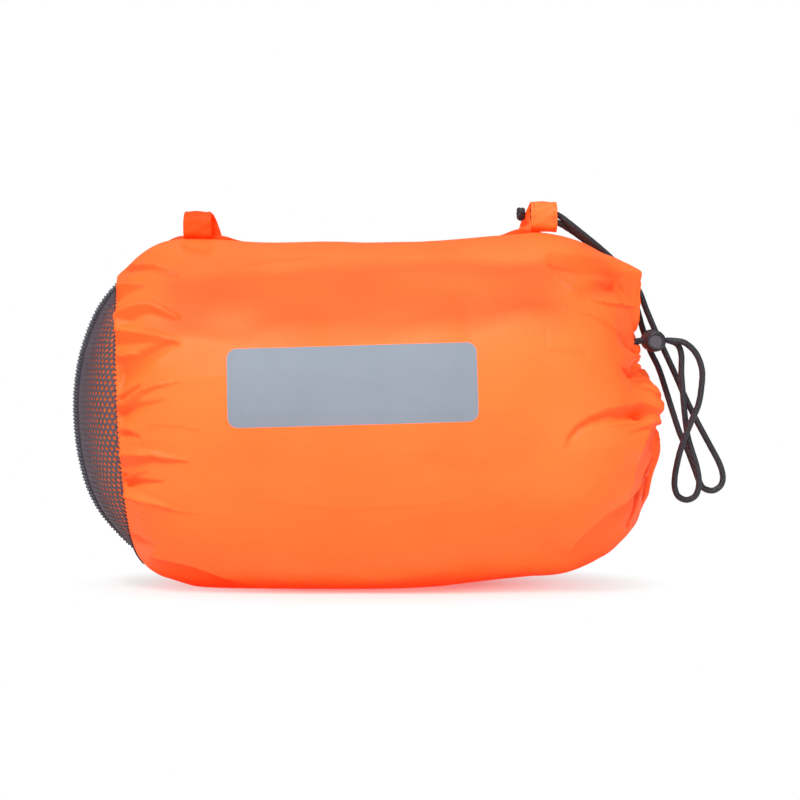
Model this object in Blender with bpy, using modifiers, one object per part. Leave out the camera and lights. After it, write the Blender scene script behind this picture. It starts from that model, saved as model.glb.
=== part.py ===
# Packed bothy bag: a two-person group shelter stuffed into its own orange nylon sack,
# lying on its side. Mesh end on the left, gathered mouth with a cord lock on the right.
# Sizes are in millimetres and become metres where a mesh is made.
# +X runs from the mesh end to the mouth, +Y away from the viewer, +Z up.

import math

import bpy
import bmesh
from mathutils import Vector

MM = 0.001
GAP = 0.3                     # clearance kept between touching pieces
FABRIC = 1.2                  # doubled coated nylon with its air
NET = 1.0                     # mesh fabric of the left end

# Outline of the filled sack, seen from the front: (x, z)
CREST = ((-94, 105), (-88, 113), (-77, 121), (-67, 123.4), (-31, 122.8), (4, 123), (37, 125), (61, 126.6))
KEEL = ((-94, 22), (-84, 12.5), (-78, 6.8), (-70, 3.6), (-59, -0.4), (-41, -2.5), (4, -2.8), (39, 1),
        (61, 3.2))
HALF_DEPTH = ((-94, 38), (-85, 47), (-71, 54), (-46, 57.5), (-1, 58.5), (39, 58), (61, 56))
FLOOR = 0.0                   # the keel is pressed flat where it would dip below this
SEAM_SHIFT = 0.23             # each panel stands this far from the middle plane
SEAM_TURN = 190.0             # angle of the bottom seam, rolled a little to the back
# Left edge of the orange fabric, drawn in near the keel: (angle from the crest, x)
SLEEVE_EDGE = ((0, -90.2), (32, -88.4), (58, -87.4), (90, -86.2), (119, -84.8), (148, -83.6), (165, -82.2),
               (180, -79.6))
SHOULDER = 59.0               # x where the body starts to close towards the mouth

# Grid of each orange panel
BODY_SHARE = 0.5              # share of its rows that lie on the body, before the shoulder
BODY_CROWDING = 1.5           # draws those rows together towards the left edge, where it curves most
END_CROWDING = 0.85           # the same for the closing end, towards the throat
PANEL_ROWS = 21
PANEL_COLUMNS = 28
SLOPE_STEP = 0.004            # step, in rows, over which a panel's slope is measured

# Gathered mouth
THROAT = (93.0, 0.0, 77.0)    # centre of the drawn mouth
THROAT_RIM = 12.2             # radius at which the panels end
# How far the closing end reaches at each angle: (angle, x)
END_REACH = ((0, 98), (20, 96.6), (40, 95), (60, 93.6), (78, 92.6), (88, 97), (98, 102), (107, 104.4),
             (117, 102), (128, 101.8), (150, 103), (175, 104.4), (195, 104.2), (230, 102), (270, 99.5),
             (310, 96), (335, 94), (350, 95.5), (360, 98))
END_ROUNDING = 2.5            # superellipse exponent of the closing end
CREST_SLACK = 0.55            # how much less it is at the crest
CREST_SLACK_TURN = 40.0       # angle over which that fades
KEEL_SLACK = 0.28             # the same at the keel
KEEL_SLACK_TURN = 45.0
THROAT_DIP = 0.13             # share of the end over which it dips into the throat
PLEATS = 15                   # gathers round the mouth
PLEAT_DEPTH = 1.7
PLEAT_START = 0.1             # span by which the pleats are full, from the throat out
PLEAT_END = 0.75              # span at which they have run out
PLEAT_FADE = 0.5              # span that they take to do so
CORNER_RISE = 6.6             # fold that stands out where the crest meets the end
CORNER_TURN = 13.0
CORNER_SPAN = 0.63
CORNER_OUTER = 0.12           # its width towards the shoulder
CORNER_INNER = 0.26           # and towards the throat
HEM_RING = 8.2                # radius of the channel round the throat
HEM_TUBE = 3.1                # radius of the bunched channel itself
HEM_SWELL = 0.1               # share by which each gather swells it
CHANNEL_RADIUS = 1.6          # the passage for the drawcord inside it
CHANNEL_EASE = 0.08           # the back half's passage is this much slimmer, so their faces don't meet

# Outline of the mesh end: (z, x)
MESH_EDGE = ((9.4, -79.8), (12, -84.6), (19, -92), (27, -98.4), (37, -103), (51, -106), (66, -106.8),
             (79, -105.4), (88, -103), (97, -99.4), (103, -95.8), (109.4, -90.3))
SEAM_WIDTH = 2.6              # standing overlocked seam
SEAM_THICK = 1.2
SEAM_ENDS = (10.5, 108.0)     # heights between which it runs
NET_TURNS = (9.0, 172.0)      # angles between which each net half runs
NET_SETBACK = 1.1             # from the net's edge to the orange fabric
NET_TIP = 1.3                 # the net ends this far inside the seam's outer edge
NET_LEAST = 0.6               # half depth left where the net runs out at its ends

# Belt loops: left edge x, strap width, height over the sack
LOOP_LEFT = (-66.5, 10.0, 10.4)
LOOP_RIGHT = (57.7, 9.4, 11.0)
LOOP_STRAP = 1.0
LOOP_BELLY = 4.8              # half the distance between the two legs, to their middles
LOOP_LEG = ((1.4, LOOP_STRAP / 2 + GAP), (4.1, 2.2), (LOOP_BELLY, 4.4), (LOOP_BELLY, 7.2))
LOOP_SHOULDER = (3.2, 1.3)    # from the middle, and down from the top of the loop
LOOP_STEP = 1.5               # spacing of the points along a strap

# Cord lock, along Y, with its face towards the viewer
LOCK_X = 101.8
LOCK_Z = 87.7
LOCK_FACE_Y = -12.5
LOCK_RADIUS = 3.9
LOCK_BORE = 2.9
BUTTON_HEAD = 2.4
BUTTON_GAP = 2.6              # free neck that the press uses up
BUTTON_RADIUS = 3.7
BUTTON_DISC = 2.25            # dished disc in the button's face
DISC_DEPTH = 0.35
DISC_SLOPE = 0.25
BUTTON_CROWN = 0.8            # rounding of the head's edge
STEM_RADIUS = 2.6
BARREL_LENGTH = 15.0
BARREL_FLOOR = 1.2
LIP_WIDTH = 2.0               # raised band round the barrel's mouth
LIP_EDGE = 0.4
LIP_SLOPE = 0.6
WAIST = 0.2                   # how much slimmer the barrel is between its bands
FOOT_WIDTH = 2.4              # raised band at its closed end
FOOT_EDGE = 0.95
SLOT_HEIGHT = 2.9
SLOT_LENGTH = 5.2             # room for two strands side by side
SLOT_CORNER = 1.2
PRESS = 2.0                   # travel of the button
STEM_END = 13.5               # all along the lock's axis, from its face
STEM_EDGE = 0.3
SPRING_PEG = 0.9              # peg on the stem's end that centres the spring
PEG_LENGTH = 0.9
SPRING_COILS = 5
COIL_POINTS = 10
SPRING_RADIUS = 2.0
SPRING_WIRE = 0.25

# Cords
CORD = 2.2                    # diameter
STRAND_FRONT_Y = -4.2
STRAND_BACK_Y = -1.8
CORD_STEP = 5.6               # spacing of a cord's points
KNOT = (54.4, 2.8, 133.4)
KNOT_RADIUS = 2.5
KNOT_LOBES = 3
KNOT_TWIST = 2.2
KNOT_SWELL = 0.09

# The drawcord inside the hem: from inside the lock, once round the mouth and back
HEM_CORD_TURNS = (52.0, 326.0)     # angles between which it lies round the throat
HEM_CORD_STEP = 3.0
HEM_TAIL_FRONT = ((97.0, STRAND_FRONT_Y, LOCK_Z), (94.8, -4.8, 86.7), (93.3, -5.9, 84.6))
HEM_TAIL_BACK = ((97.0, STRAND_BACK_Y, LOCK_Z), (94.8, -0.8, 86.9), (93.3, 1.9, 85.5))
# Free loop of the drawcord, from the lock round and back
DRAWCORD_ROUTE = (
    (106.15, -4.2, 87.7), (108.2, -4.2, 87.8), (112.8, -5.0, 87.0), (116.8, -5.6, 83.2), (118.9, -6.0, 77.4),
    (118.7, -6.2, 71.0), (117.6, -6.3, 64.8), (115.2, -6.3, 59.0), (113.2, -6.3, 54.0), (111.2, -6.0, 48.1),
    (109.9, -5.4, 42.1), (109.4, -5.0, 38.2), (109.5, -4.8, 34.9), (110.8, -4.5, 31.9), (113.8, -4.3, 30.6),
    (116.8, -4.1, 31.9), (118.1, -3.9, 34.9), (118.2, -3.6, 38.4), (117.3, -3.3, 43.2), (115.7, -3.1, 48.3),
    (114.2, -3.0, 53.6), (113.2, -3.0, 60.6), (112.5, -2.9, 68.0), (111.9, -2.5, 76.0), (111.9, -2.2, 82.4),
    (110.6, -1.9, 86.2), (107.5, -1.8, 87.7), (106.15, -1.8, 87.7))
# Tether, from its knot through the right belt loop, down past the lock and back again
TETHER_ROUTE = (
    (57.6, 2.1, 134.6), (62.5, 2.1, 134.2), (67.6, 2.1, 132.8), (71.6, 2.0, 130.0), (75.6, 3.2, 126.9),
    (82.4, 6.0, 121.6), (88.2, 8.6, 116.6), (93.4, 10.0, 111.4), (97.6, 10.2, 105.6), (100.4, 9.9, 98.5),
    (104.0, 9.6, 90.0), (107.4, 8.6, 82.5), (111.1, 7.4, 74.3), (114.4, 6.4, 66.6), (118.4, 5.6, 58.4),
    (122.8, 5.0, 50.2), (126.4, 4.8, 43.4), (127.8, 4.7, 38.6), (127.1, 4.6, 35.2), (124.3, 4.4, 33.3),
    (121.1, 4.3, 34.0), (119.4, 4.2, 36.2), (117.2, 4.0, 42.0), (114.8, 3.9, 48.2), (112.2, 4.0, 53.8),
    (109.8, 4.6, 61.0), (107.2, 5.6, 69.4), (104.6, 7.4, 77.6), (101.4, 9.8, 84.6), (99.0, 12.8, 92.6),
    (97.2, 15.2, 99.6), (94.2, 16.8, 106.6), (89.6, 16.8, 113.4), (83.4, 14.4, 119.8), (77.2, 10.4, 124.4),
    (72.0, 6.2, 127.8), (67.6, 2.5, 130.1), (62.5, 2.1, 131.5), (57.6, 2.1, 132.1))

# Packed shelter inside the sack
FILL_CENTRE = (-7.0, 0.0, 61.5)
FILL_HALF = (91.0, 53.5, 57.0)
FILL_SQUARE = 2.3             # superellipsoid exponent
FILL_FLOOR = 4.0              # the canopy is pressed flat below this
CORE_HALF = 6.0               # half thickness of the flat layers in the middle
SEAT_PANEL = ((-13.0, 0.3, 61.0), (138.0, 5.0, 84.0))     # centre, size
WINDOW = ((-11.0, -4.1, 58.0), (112.0, 3.0, 66.0))
VENT_SLEEVE = ((13.0, 4.4, 66.0), (76.0, 2.6, 40.0))
FOLD_CORNER = 10.0            # rounding of those layers' corners
FOLD_EDGE = 0.3               # and of their edges, as a share of the thickness

ORANGE = (1.0, 0.19, 0.035, 1)
CORD_BLACK = (0.03, 0.03, 0.035, 1)


def clear_scene():
    for old in list(bpy.data.objects):
        bpy.data.objects.remove(old, do_unlink=True)


def collection(name):
    made = bpy.data.collections.new(name)
    bpy.context.scene.collection.children.link(made)
    return made


clear_scene()
PARTS = collection("bothy_bag")
CUTTERS = collection("cutters")


def material(name, colour, roughness, metallic=0.0):
    made = bpy.data.materials.new(name)
    made.use_nodes = True
    shader = made.node_tree.nodes["Principled BSDF"]
    shader.inputs["Base Color"].default_value = colour
    shader.inputs["Roughness"].default_value = roughness
    shader.inputs["Metallic"].default_value = metallic
    return made


def place(name, data, finish, smooth_angle=None):
    obj = bpy.data.objects.new(name, data)
    PARTS.objects.link(obj)
    if finish:
        obj.data.materials.append(finish)
    if smooth_angle is not None:
        obj.data.shade_smooth()
        obj.data.set_sharp_from_angle(angle=math.radians(smooth_angle))
    return obj


def value(knots, at):
    # smooth curve through a few knots, flat beyond its ends
    if at <= knots[0][0]:
        return knots[0][1]
    if at >= knots[-1][0]:
        return knots[-1][1]
    i = max(k for k, knot in enumerate(knots[:-1]) if knot[0] <= at)

    def slope(k):
        low, high = knots[max(k - 1, 0)], knots[min(k + 1, len(knots) - 1)]
        return (high[1] - low[1]) / (high[0] - low[0])

    width = knots[i + 1][0] - knots[i][0]
    t = (at - knots[i][0]) / width
    start, end = knots[i][1], knots[i + 1][1]
    rise, fall = slope(i) * width, slope(i + 1) * width
    return (start * (2 * t**3 - 3 * t**2 + 1) + rise * (t**3 - 2 * t**2 + t)
            + end * (3 * t**2 - 2 * t**3) + fall * (t**3 - t**2))


def ease(t):
    t = min(max(t, 0.0), 1.0)
    return t * t * (3 - 2 * t)


def body_point(x, turn):
    # section of the filled sack: turn 0 is the crest, 90 the front, 180 the keel, 270 the back
    top, bottom, depth = value(CREST, x), value(KEEL, x), value(HALF_DEPTH, x)
    angle = math.radians(turn)
    middle, half = (top + bottom) / 2, (top - bottom) / 2
    return Vector((x, -depth * math.sin(angle), max(middle + half * math.cos(angle), FLOOR)))


def sleeve_edge(turn):
    return value(SLEEVE_EDGE, min(turn, 360 - turn))


def bump(offset, width):
    return math.exp(-(offset / width) ** 2)


def mouth_point(span, turn):
    # span 1 is the shoulder, 0 the drawn rim round the throat
    turn %= 360
    angle = math.radians(turn)
    rim = Vector((0, THROAT[1] - THROAT_RIM * math.sin(angle), THROAT[2] + THROAT_RIM * math.cos(angle)))
    shoulder = body_point(SHOULDER, turn)
    point = rim.lerp(shoulder, span)
    reach = value(END_REACH, turn)
    crest_turn = min(turn, 360 - turn)
    power = END_ROUNDING - CREST_SLACK * bump(crest_turn, CREST_SLACK_TURN)
    power -= KEEL_SLACK * bump(180 - crest_turn, KEEL_SLACK_TURN)
    rounded = (1 - span**power) ** (1 / power)
    dip = (reach - THROAT[0]) * bump(span, THROAT_DIP)
    fade = ease(span / PLEAT_START) * ease((PLEAT_END - span) / PLEAT_FADE)
    pleat = PLEAT_DEPTH * math.cos(math.radians(PLEATS * turn)) * fade
    width = CORNER_OUTER if span > CORNER_SPAN else CORNER_INNER
    corner = CORNER_RISE * bump(crest_turn, CORNER_TURN) * bump(span - CORNER_SPAN, width)
    point.x = SHOULDER + (reach - SHOULDER) * rounded - dip + pleat + corner
    return point


def panel_point(row, turn):
    if row <= BODY_SHARE:
        edge = sleeve_edge(turn)
        return body_point(edge + (SHOULDER - edge) * (row / BODY_SHARE) ** BODY_CROWDING, turn)
    step = (row - BODY_SHARE) / (1 - BODY_SHARE)
    return mouth_point(math.cos(math.radians(90 * step)) ** END_CROWDING, turn)


def surface(name, rows, columns, point, wrap=False):
    # a grid bent into shape: point(row, column) takes 0..1 each way
    bm = bmesh.new()
    bmesh.ops.create_grid(bm, x_segments=rows, y_segments=columns, size=0.5)
    for vert in bm.verts:
        vert.co = point(vert.co.x + 0.5, vert.co.y + 0.5) * MM
    if wrap:
        bmesh.ops.remove_doubles(bm, verts=bm.verts, dist=0.001 * MM)
    mesh = bpy.data.meshes.new(name)
    bm.to_mesh(mesh)
    bm.free()
    return mesh


def thicken(obj, thickness, side=-1.0):
    solid = obj.modifiers.new("thickness", "SOLIDIFY")
    solid.thickness = thickness * MM
    solid.offset = side
    return obj


def panel_inside(row, turn):
    # the fabric's inner face; both panels share it at their seams, so their edges stay parallel
    ahead, behind = min(row + SLOPE_STEP, 1.0), max(row - SLOPE_STEP, 0.0)
    along = panel_point(ahead, turn) - panel_point(behind, turn)
    around = panel_point(row, turn + 0.5) - panel_point(row, turn - 0.5)
    return panel_point(row, turn) - around.cross(along).normalized() * FABRIC


def panel(name, start, end, shift, finish):
    # outer and inner faces as two bent grids, joined round their rims
    bm = bmesh.new()
    for face in (panel_point, panel_inside):
        made = bmesh.ops.create_grid(bm, x_segments=PANEL_ROWS, y_segments=PANEL_COLUMNS, size=0.5)["verts"]
        for vert in made:
            spot = face(vert.co.x + 0.5, start + (end - start) * (vert.co.y + 0.5))
            vert.co = (spot + Vector((0, shift, 0))) * MM
    rims = [e for e in bm.edges if e.is_boundary]
    bmesh.ops.bridge_loops(bm, edges=rims)
    bmesh.ops.recalc_face_normals(bm, faces=bm.faces)
    mesh = bpy.data.meshes.new(name)
    bm.to_mesh(mesh)
    bm.free()
    return place(name, mesh, finish, 40)


def mesh_half(name, side, finish):
    # lens-shaped half of the mesh end: side -1 is the front, +1 the back
    def point(row, column):
        turn = NET_TURNS[0] + (NET_TURNS[1] - NET_TURNS[0]) * column
        edge = body_point(sleeve_edge(turn) - NET_SETBACK, turn)
        inner = SEAM_THICK / 2 + GAP
        swing = math.radians(90 * row)
        half = max(abs(edge.y), inner + NET_LEAST) - inner
        tip = value(MESH_EDGE, edge.z) + NET_TIP
        x = edge.x + (tip - edge.x) * math.sin(swing)
        return Vector((x, side * (inner + half * math.cos(swing)), edge.z))

    mesh = surface(name, 8, 18, point)
    if side > 0:
        mesh.flip_normals()
    obj = place(name, mesh, finish, 40)
    return thicken(obj, NET)


def mesh_seam(finish):
    def point(row, column):
        z = SEAM_ENDS[0] + (SEAM_ENDS[1] - SEAM_ENDS[0]) * row
        ahead, behind = min(z + 0.5, MESH_EDGE[-1][0]), max(z - 0.5, MESH_EDGE[0][0])
        along = Vector((value(MESH_EDGE, ahead) - value(MESH_EDGE, behind), 0, ahead - behind)).normalized()
        inward = Vector((along.z, 0, -along.x))
        return Vector((value(MESH_EDGE, z), 0, z)) + inward * SEAM_WIDTH * column

    mesh = surface("mesh_end_seam", 30, 1, point)
    return thicken(place("mesh_end_seam", mesh, finish), SEAM_THICK, 0.0)


def smooth_route(points, step, straight=0.0):
    # even points on a Catmull-Rom curve through the route's own points; straight is the length at
    # each end that keeps its first direction, so that the end is square to what it meets
    knots = [Vector(p) for p in points]
    knots = [knots[0] * 2 - knots[1], *knots, knots[-1] * 2 - knots[-2]]
    fine = []
    for a, b, c, d in zip(knots, knots[1:], knots[2:], knots[3:]):
        for k in range(24):
            t = k / 24
            fine.append(0.5 * (2 * b + (c - a) * t + (2 * a - 5 * b + 4 * c - d) * t**2
                               + (3 * b - a - 3 * c + d) * t**3))
    fine.append(knots[-2])
    lengths = [0.0]
    for a, b in zip(fine, fine[1:]):
        lengths.append(lengths[-1] + (b - a).length)
    count = max(2, round(lengths[-1] / step))
    even, k = [], 0
    for n in range(count + 1):
        target = lengths[-1] * n / count
        while k < len(fine) - 2 and lengths[k + 1] < target:
            k += 1
        share = (target - lengths[k]) / (lengths[k + 1] - lengths[k])
        even.append(fine[k].lerp(fine[k + 1], share))
    if straight:
        even.insert(1, even[0] + (knots[2] - knots[1]).normalized() * straight)
        even.insert(-1, even[-1] + (knots[-3] - knots[-2]).normalized() * straight)
    return even


def tube(name, points, radius, finish, sides=2):
    data = bpy.data.curves.new(name, "CURVE")
    data.dimensions = "3D"
    data.bevel_depth = radius * MM
    data.bevel_resolution = sides
    data.use_fill_caps = True
    spline = data.splines.new("POLY")
    spline.points.add(len(points) - 1)
    for point, co in zip(spline.points, points):
        point.co = (*(Vector(co) * MM), 1)
    return place(name, data, finish)


def as_mesh(obj):
    # turns a curve into a mesh whose caps are welded, so that it can cut
    graph = bpy.context.evaluated_depsgraph_get()
    mesh = bpy.data.meshes.new_from_object(obj.evaluated_get(graph))
    bm = bmesh.new()
    bm.from_mesh(mesh)
    bmesh.ops.remove_doubles(bm, verts=bm.verts, dist=0.001 * MM)
    bmesh.ops.recalc_face_normals(bm, faces=bm.faces)
    bm.to_mesh(mesh)
    bm.free()
    name, matrix, finish = obj.name, obj.matrix_world.copy(), obj.active_material
    bpy.data.objects.remove(obj, do_unlink=True)
    made = place(name, mesh, finish)
    made.matrix_world = matrix
    return made


def hem_route():
    # two tails from the lock, each bending down into its half of the ring stretch inside the hem
    lock_end = LOCK_X + LOCK_RADIUS + GAP / 2
    front = [(lock_end, STRAND_FRONT_Y, LOCK_Z), (LOCK_X, STRAND_FRONT_Y, LOCK_Z), *HEM_TAIL_FRONT]
    back = [(lock_end, STRAND_BACK_Y, LOCK_Z), (LOCK_X, STRAND_BACK_Y, LOCK_Z), *HEM_TAIL_BACK]
    ring = []
    start, end = HEM_CORD_TURNS
    for k in range(13):
        angle = math.radians(start + (end - start) * k / 12)
        ring.append((THROAT[0], -HEM_RING * math.sin(angle), THROAT[2] + HEM_RING * math.cos(angle)))
    return smooth_route(front + ring + back[::-1], HEM_CORD_STEP)


def cut(obj, cutter):
    CUTTERS.objects.link(cutter)
    PARTS.objects.unlink(cutter)
    cutter.hide_render = True
    cutter.display_type = "WIRE"
    boolean = obj.modifiers.new("cut", "BOOLEAN")
    boolean.operation = "DIFFERENCE"
    boolean.object = cutter
    return obj


def mouth_hem(finish):
    # bunched channel: a ring whose tube swells and narrows with each gather
    def point(row, column):
        around, about = math.radians(360 * row), math.radians(360 * column)
        swell = HEM_TUBE * (1 + HEM_SWELL * math.cos(PLEATS * around))
        radius = HEM_RING + swell * math.cos(about)
        return Vector((THROAT[0] + swell * math.sin(about),
                       THROAT[1] - radius * math.sin(around), THROAT[2] + radius * math.cos(around)))

    obj = place("mouth_hem", surface("mouth_hem", 60, 10, point, wrap=True), finish, 50)
    route = hem_route()
    half = len(route) // 2
    for name, stretch, radius in (("hem_channel_front", route[:half + 1], CHANNEL_RADIUS),
                                  ("hem_channel_back", route[half - 1:], CHANNEL_RADIUS - CHANNEL_EASE)):
        cut(obj, as_mesh(tube(name, stretch, radius, None)))
    return obj


def belt_loop(name, left, width, height, finish):
    middle = left + width / 2
    base = max(value(CREST, min(x, SHOULDER)) for x in (left, middle, left + width))
    legs = [*LOOP_LEG, (LOOP_SHOULDER[0], height - LOOP_SHOULDER[1])]
    path = [(-y, z) for y, z in legs] + [(0, height - LOOP_STRAP / 2)] + legs[::-1]
    path = smooth_route([(0, y, base + z) for y, z in path], LOOP_STEP)

    def point(row, column):
        spot = path[min(round(row * (len(path) - 1)), len(path) - 1)]
        return Vector((left + width * column, spot.y, spot.z))

    mesh = surface(name, len(path) - 1, 1, point)
    return thicken(place(name, mesh, finish, 60), LOOP_STRAP, 0.0)


def turned(name, profile, finish):
    # profile of (radius, distance from the lock's face), spun round the lock's axis
    mesh = bpy.data.meshes.new(name)
    points = [(r * MM, 0, -a * MM) for r, a in profile]
    mesh.from_pydata(points, [(k, k + 1) for k in range(len(points) - 1)], [])
    obj = place(name, mesh, finish)
    screw = obj.modifiers.new("turn", "SCREW")
    screw.steps = 32
    screw.render_steps = 32
    screw.use_merge_vertices = True
    screw.merge_threshold = 0.00001
    obj.location = (LOCK_X * MM, LOCK_FACE_Y * MM, LOCK_Z * MM)
    obj.rotation_euler = (math.radians(90), 0, 0)
    return obj


def slot(name, start, end):
    # round-cornered cross slot along X, from start to end along the lock's axis
    bm = bmesh.new()
    bmesh.ops.create_cube(bm, size=1.0)
    size = Vector((LOCK_RADIUS * 3, end - start, SLOT_HEIGHT)) * MM
    bmesh.ops.scale(bm, vec=size, verts=bm.verts)
    long_edges = [e for e in bm.edges if abs(e.verts[0].co.x - e.verts[1].co.x) > size.x / 2]
    bmesh.ops.bevel(bm, geom=long_edges, offset=SLOT_CORNER * MM, segments=4, profile=0.5, affect="EDGES",
                    material=-1)
    mesh = bpy.data.meshes.new(name)
    bm.to_mesh(mesh)
    bm.free()
    obj = place(name, mesh, None)
    obj.location = Vector((LOCK_X, LOCK_FACE_Y + (start + end) / 2, LOCK_Z)) * MM
    return obj


def cord_lock(plastic, steel):
    first = BUTTON_HEAD + BUTTON_GAP
    last = first + BARREL_LENGTH
    middle = (STRAND_FRONT_Y + STRAND_BACK_Y) / 2 - LOCK_FACE_Y
    slot_start, slot_end = middle - SLOT_LENGTH / 2, middle + SLOT_LENGTH / 2
    floor = last - BARREL_FLOOR
    barrel = turned("cord_lock_barrel", (
        (0, floor), (LOCK_BORE, floor), (LOCK_BORE, first), (LOCK_RADIUS - LIP_EDGE, first),
        (LOCK_RADIUS, first + LIP_EDGE), (LOCK_RADIUS, first + LIP_WIDTH),
        (LOCK_RADIUS - WAIST, first + LIP_WIDTH + LIP_SLOPE),
        (LOCK_RADIUS - WAIST, last - FOOT_WIDTH - LIP_SLOPE), (LOCK_RADIUS, last - FOOT_WIDTH),
        (LOCK_RADIUS, last - FOOT_EDGE), (LOCK_RADIUS - FOOT_EDGE, last), (0, last)), plastic)
    cut(barrel, slot("barrel_slot", slot_start, slot_end))
    button = turned("cord_lock_button", (
        (0, DISC_DEPTH), (BUTTON_DISC, DISC_DEPTH), (BUTTON_DISC + DISC_SLOPE, 0),
        (BUTTON_RADIUS - BUTTON_CROWN, 0), (BUTTON_RADIUS - BUTTON_CROWN / 4, BUTTON_CROWN / 2),
        (BUTTON_RADIUS, BUTTON_CROWN * 1.4), (BUTTON_RADIUS, BUTTON_HEAD - STEM_EDGE),
        (BUTTON_RADIUS - STEM_EDGE, BUTTON_HEAD), (STEM_RADIUS, BUTTON_HEAD),
        (STEM_RADIUS, STEM_END - STEM_EDGE),
        (STEM_RADIUS - STEM_EDGE, STEM_END), (SPRING_PEG + STEM_EDGE, STEM_END),
        (SPRING_PEG, STEM_END + PEG_LENGTH), (0, STEM_END + PEG_LENGTH)), plastic)
    cut(button, slot("button_slot", slot_start - PRESS, slot_end))
    spring_start, spring_end = STEM_END + GAP + SPRING_WIRE, floor - GAP - SPRING_WIRE
    coil = []
    for k in range(SPRING_COILS * COIL_POINTS + 1):
        angle = math.radians(360 / COIL_POINTS * k)
        reach = spring_start + (spring_end - spring_start) * k / (SPRING_COILS * COIL_POINTS)
        coil.append((LOCK_X + SPRING_RADIUS * math.cos(angle), LOCK_FACE_Y + reach,
                     LOCK_Z + SPRING_RADIUS * math.sin(angle)))
    tube("cord_lock_spring", coil, SPRING_WIRE, steel, 1)


def knot(finish):
    # overhand knot, drawn down to a lobed ball round both ends
    bm = bmesh.new()
    bmesh.ops.create_uvsphere(bm, u_segments=18, v_segments=12, radius=KNOT_RADIUS * MM)
    for vert in bm.verts:
        angle = math.atan2(vert.co.z, vert.co.y)
        twist = angle * KNOT_LOBES + vert.co.x / (KNOT_RADIUS * MM) * KNOT_TWIST
        vert.co *= 1 + KNOT_SWELL * math.cos(twist)
    mesh = bpy.data.meshes.new("tether_knot")
    bm.to_mesh(mesh)
    bm.free()
    obj = place("tether_knot", mesh, finish, 60)
    obj.location = Vector(KNOT) * MM
    return obj


def canopy_fold(name, side, finish):
    # one half of the stuffed canopy, flat against the layers in the middle
    bm = bmesh.new()
    bmesh.ops.create_uvsphere(bm, u_segments=28, v_segments=16, radius=1.0)
    for vert in bm.verts:
        spot = []
        for unit, half in zip(vert.co, FILL_HALF):
            spot.append(math.copysign(abs(unit) ** (2 / FILL_SQUARE), unit) * half)
        vert.co = (Vector(spot) + Vector(FILL_CENTRE)) * MM
        vert.co.z = max(vert.co.z, FILL_FLOOR * MM)
    plane = Vector((0, side * CORE_HALF, 0)) * MM
    cut_edges = bmesh.ops.bisect_plane(
        bm, geom=[*bm.verts, *bm.edges, *bm.faces], plane_co=plane, plane_no=(0, -side, 0), clear_outer=True)
    rim = [g for g in cut_edges["geom_cut"] if isinstance(g, bmesh.types.BMEdge)]
    bmesh.ops.edgenet_fill(bm, edges=rim)
    bmesh.ops.recalc_face_normals(bm, faces=bm.faces)
    mesh = bpy.data.meshes.new(name)
    bm.to_mesh(mesh)
    bm.free()
    return place(name, mesh, finish, 60)


def flat_fold(name, centre, size, finish):
    # folded layers pressed flat: a slab with rounded edges
    bm = bmesh.new()
    bmesh.ops.create_cube(bm, size=1.0)
    bmesh.ops.scale(bm, vec=Vector(size) * MM, verts=bm.verts)
    upright = [e for e in bm.edges if abs(e.verts[0].co.y - e.verts[1].co.y) > size[1] * MM / 2]
    bmesh.ops.bevel(bm, geom=upright, offset=FOLD_CORNER * MM, segments=4, profile=0.5, affect="EDGES",
                    material=-1)
    bmesh.ops.bevel(bm, geom=[e for e in bm.edges if len(e.link_faces) == 2 and e.calc_face_angle() > 1.2],
                    offset=size[1] * FOLD_EDGE * MM, segments=2, profile=0.5, affect="EDGES", material=-1)
    mesh = bpy.data.meshes.new(name)
    bm.to_mesh(mesh)
    bm.free()
    obj = place(name, mesh, finish, 50)
    obj.location = Vector(centre) * MM
    return obj


def build():
    nylon = material("coated_nylon", ORANGE, 0.42)
    net = material("grey_net", (0.16, 0.17, 0.22, 1), 0.7)
    tape = material("overlock_tape", (0.30, 0.31, 0.36, 1), 0.8)
    cord = material("elastic_cord", CORD_BLACK, 0.75)
    plastic = material("moulded_plastic", (0.09, 0.095, 0.11, 1), 0.5)
    steel = material("spring_steel", (0.6, 0.6, 0.6, 1), 0.3, 1.0)
    lining = material("shelter_fabric", (0.95, 0.2, 0.05, 1), 0.5)
    clear = material("window_film", (0.85, 0.88, 0.9, 1), 0.2)

    panel("front_panel", 0, SEAM_TURN, -SEAM_SHIFT, nylon)
    panel("back_panel", SEAM_TURN + 0.4, 360, SEAM_SHIFT, nylon)
    mesh_half("mesh_end_front", -1, net)
    mesh_half("mesh_end_back", 1, net)
    mesh_seam(tape)
    mouth_hem(nylon)
    belt_loop("belt_loop_left", *LOOP_LEFT, nylon)
    belt_loop("belt_loop_right", *LOOP_RIGHT, nylon)
    cord_lock(plastic, steel)
    tube("drawcord_in_hem", hem_route(), CORD / 2, cord)
    tube("drawcord_loop", smooth_route(DRAWCORD_ROUTE, CORD_STEP, CORD / 2), CORD / 2, cord)
    tube("tether_loop", smooth_route(TETHER_ROUTE, CORD_STEP, CORD / 2), CORD / 2, cord)
    knot(cord)
    canopy_fold("canopy_fold_front", -1, lining)
    canopy_fold("canopy_fold_back", 1, lining)
    flat_fold("seat_panel_fold", *SEAT_PANEL, lining)
    flat_fold("window_fold", *WINDOW, clear)
    flat_fold("vent_sleeve_fold", *VENT_SLEEVE, lining)


build()
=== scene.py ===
import math

import bmesh
import bpy
import numpy as np
from mathutils import Matrix, Vector, noise
from mathutils.kdtree import KDTree


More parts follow.
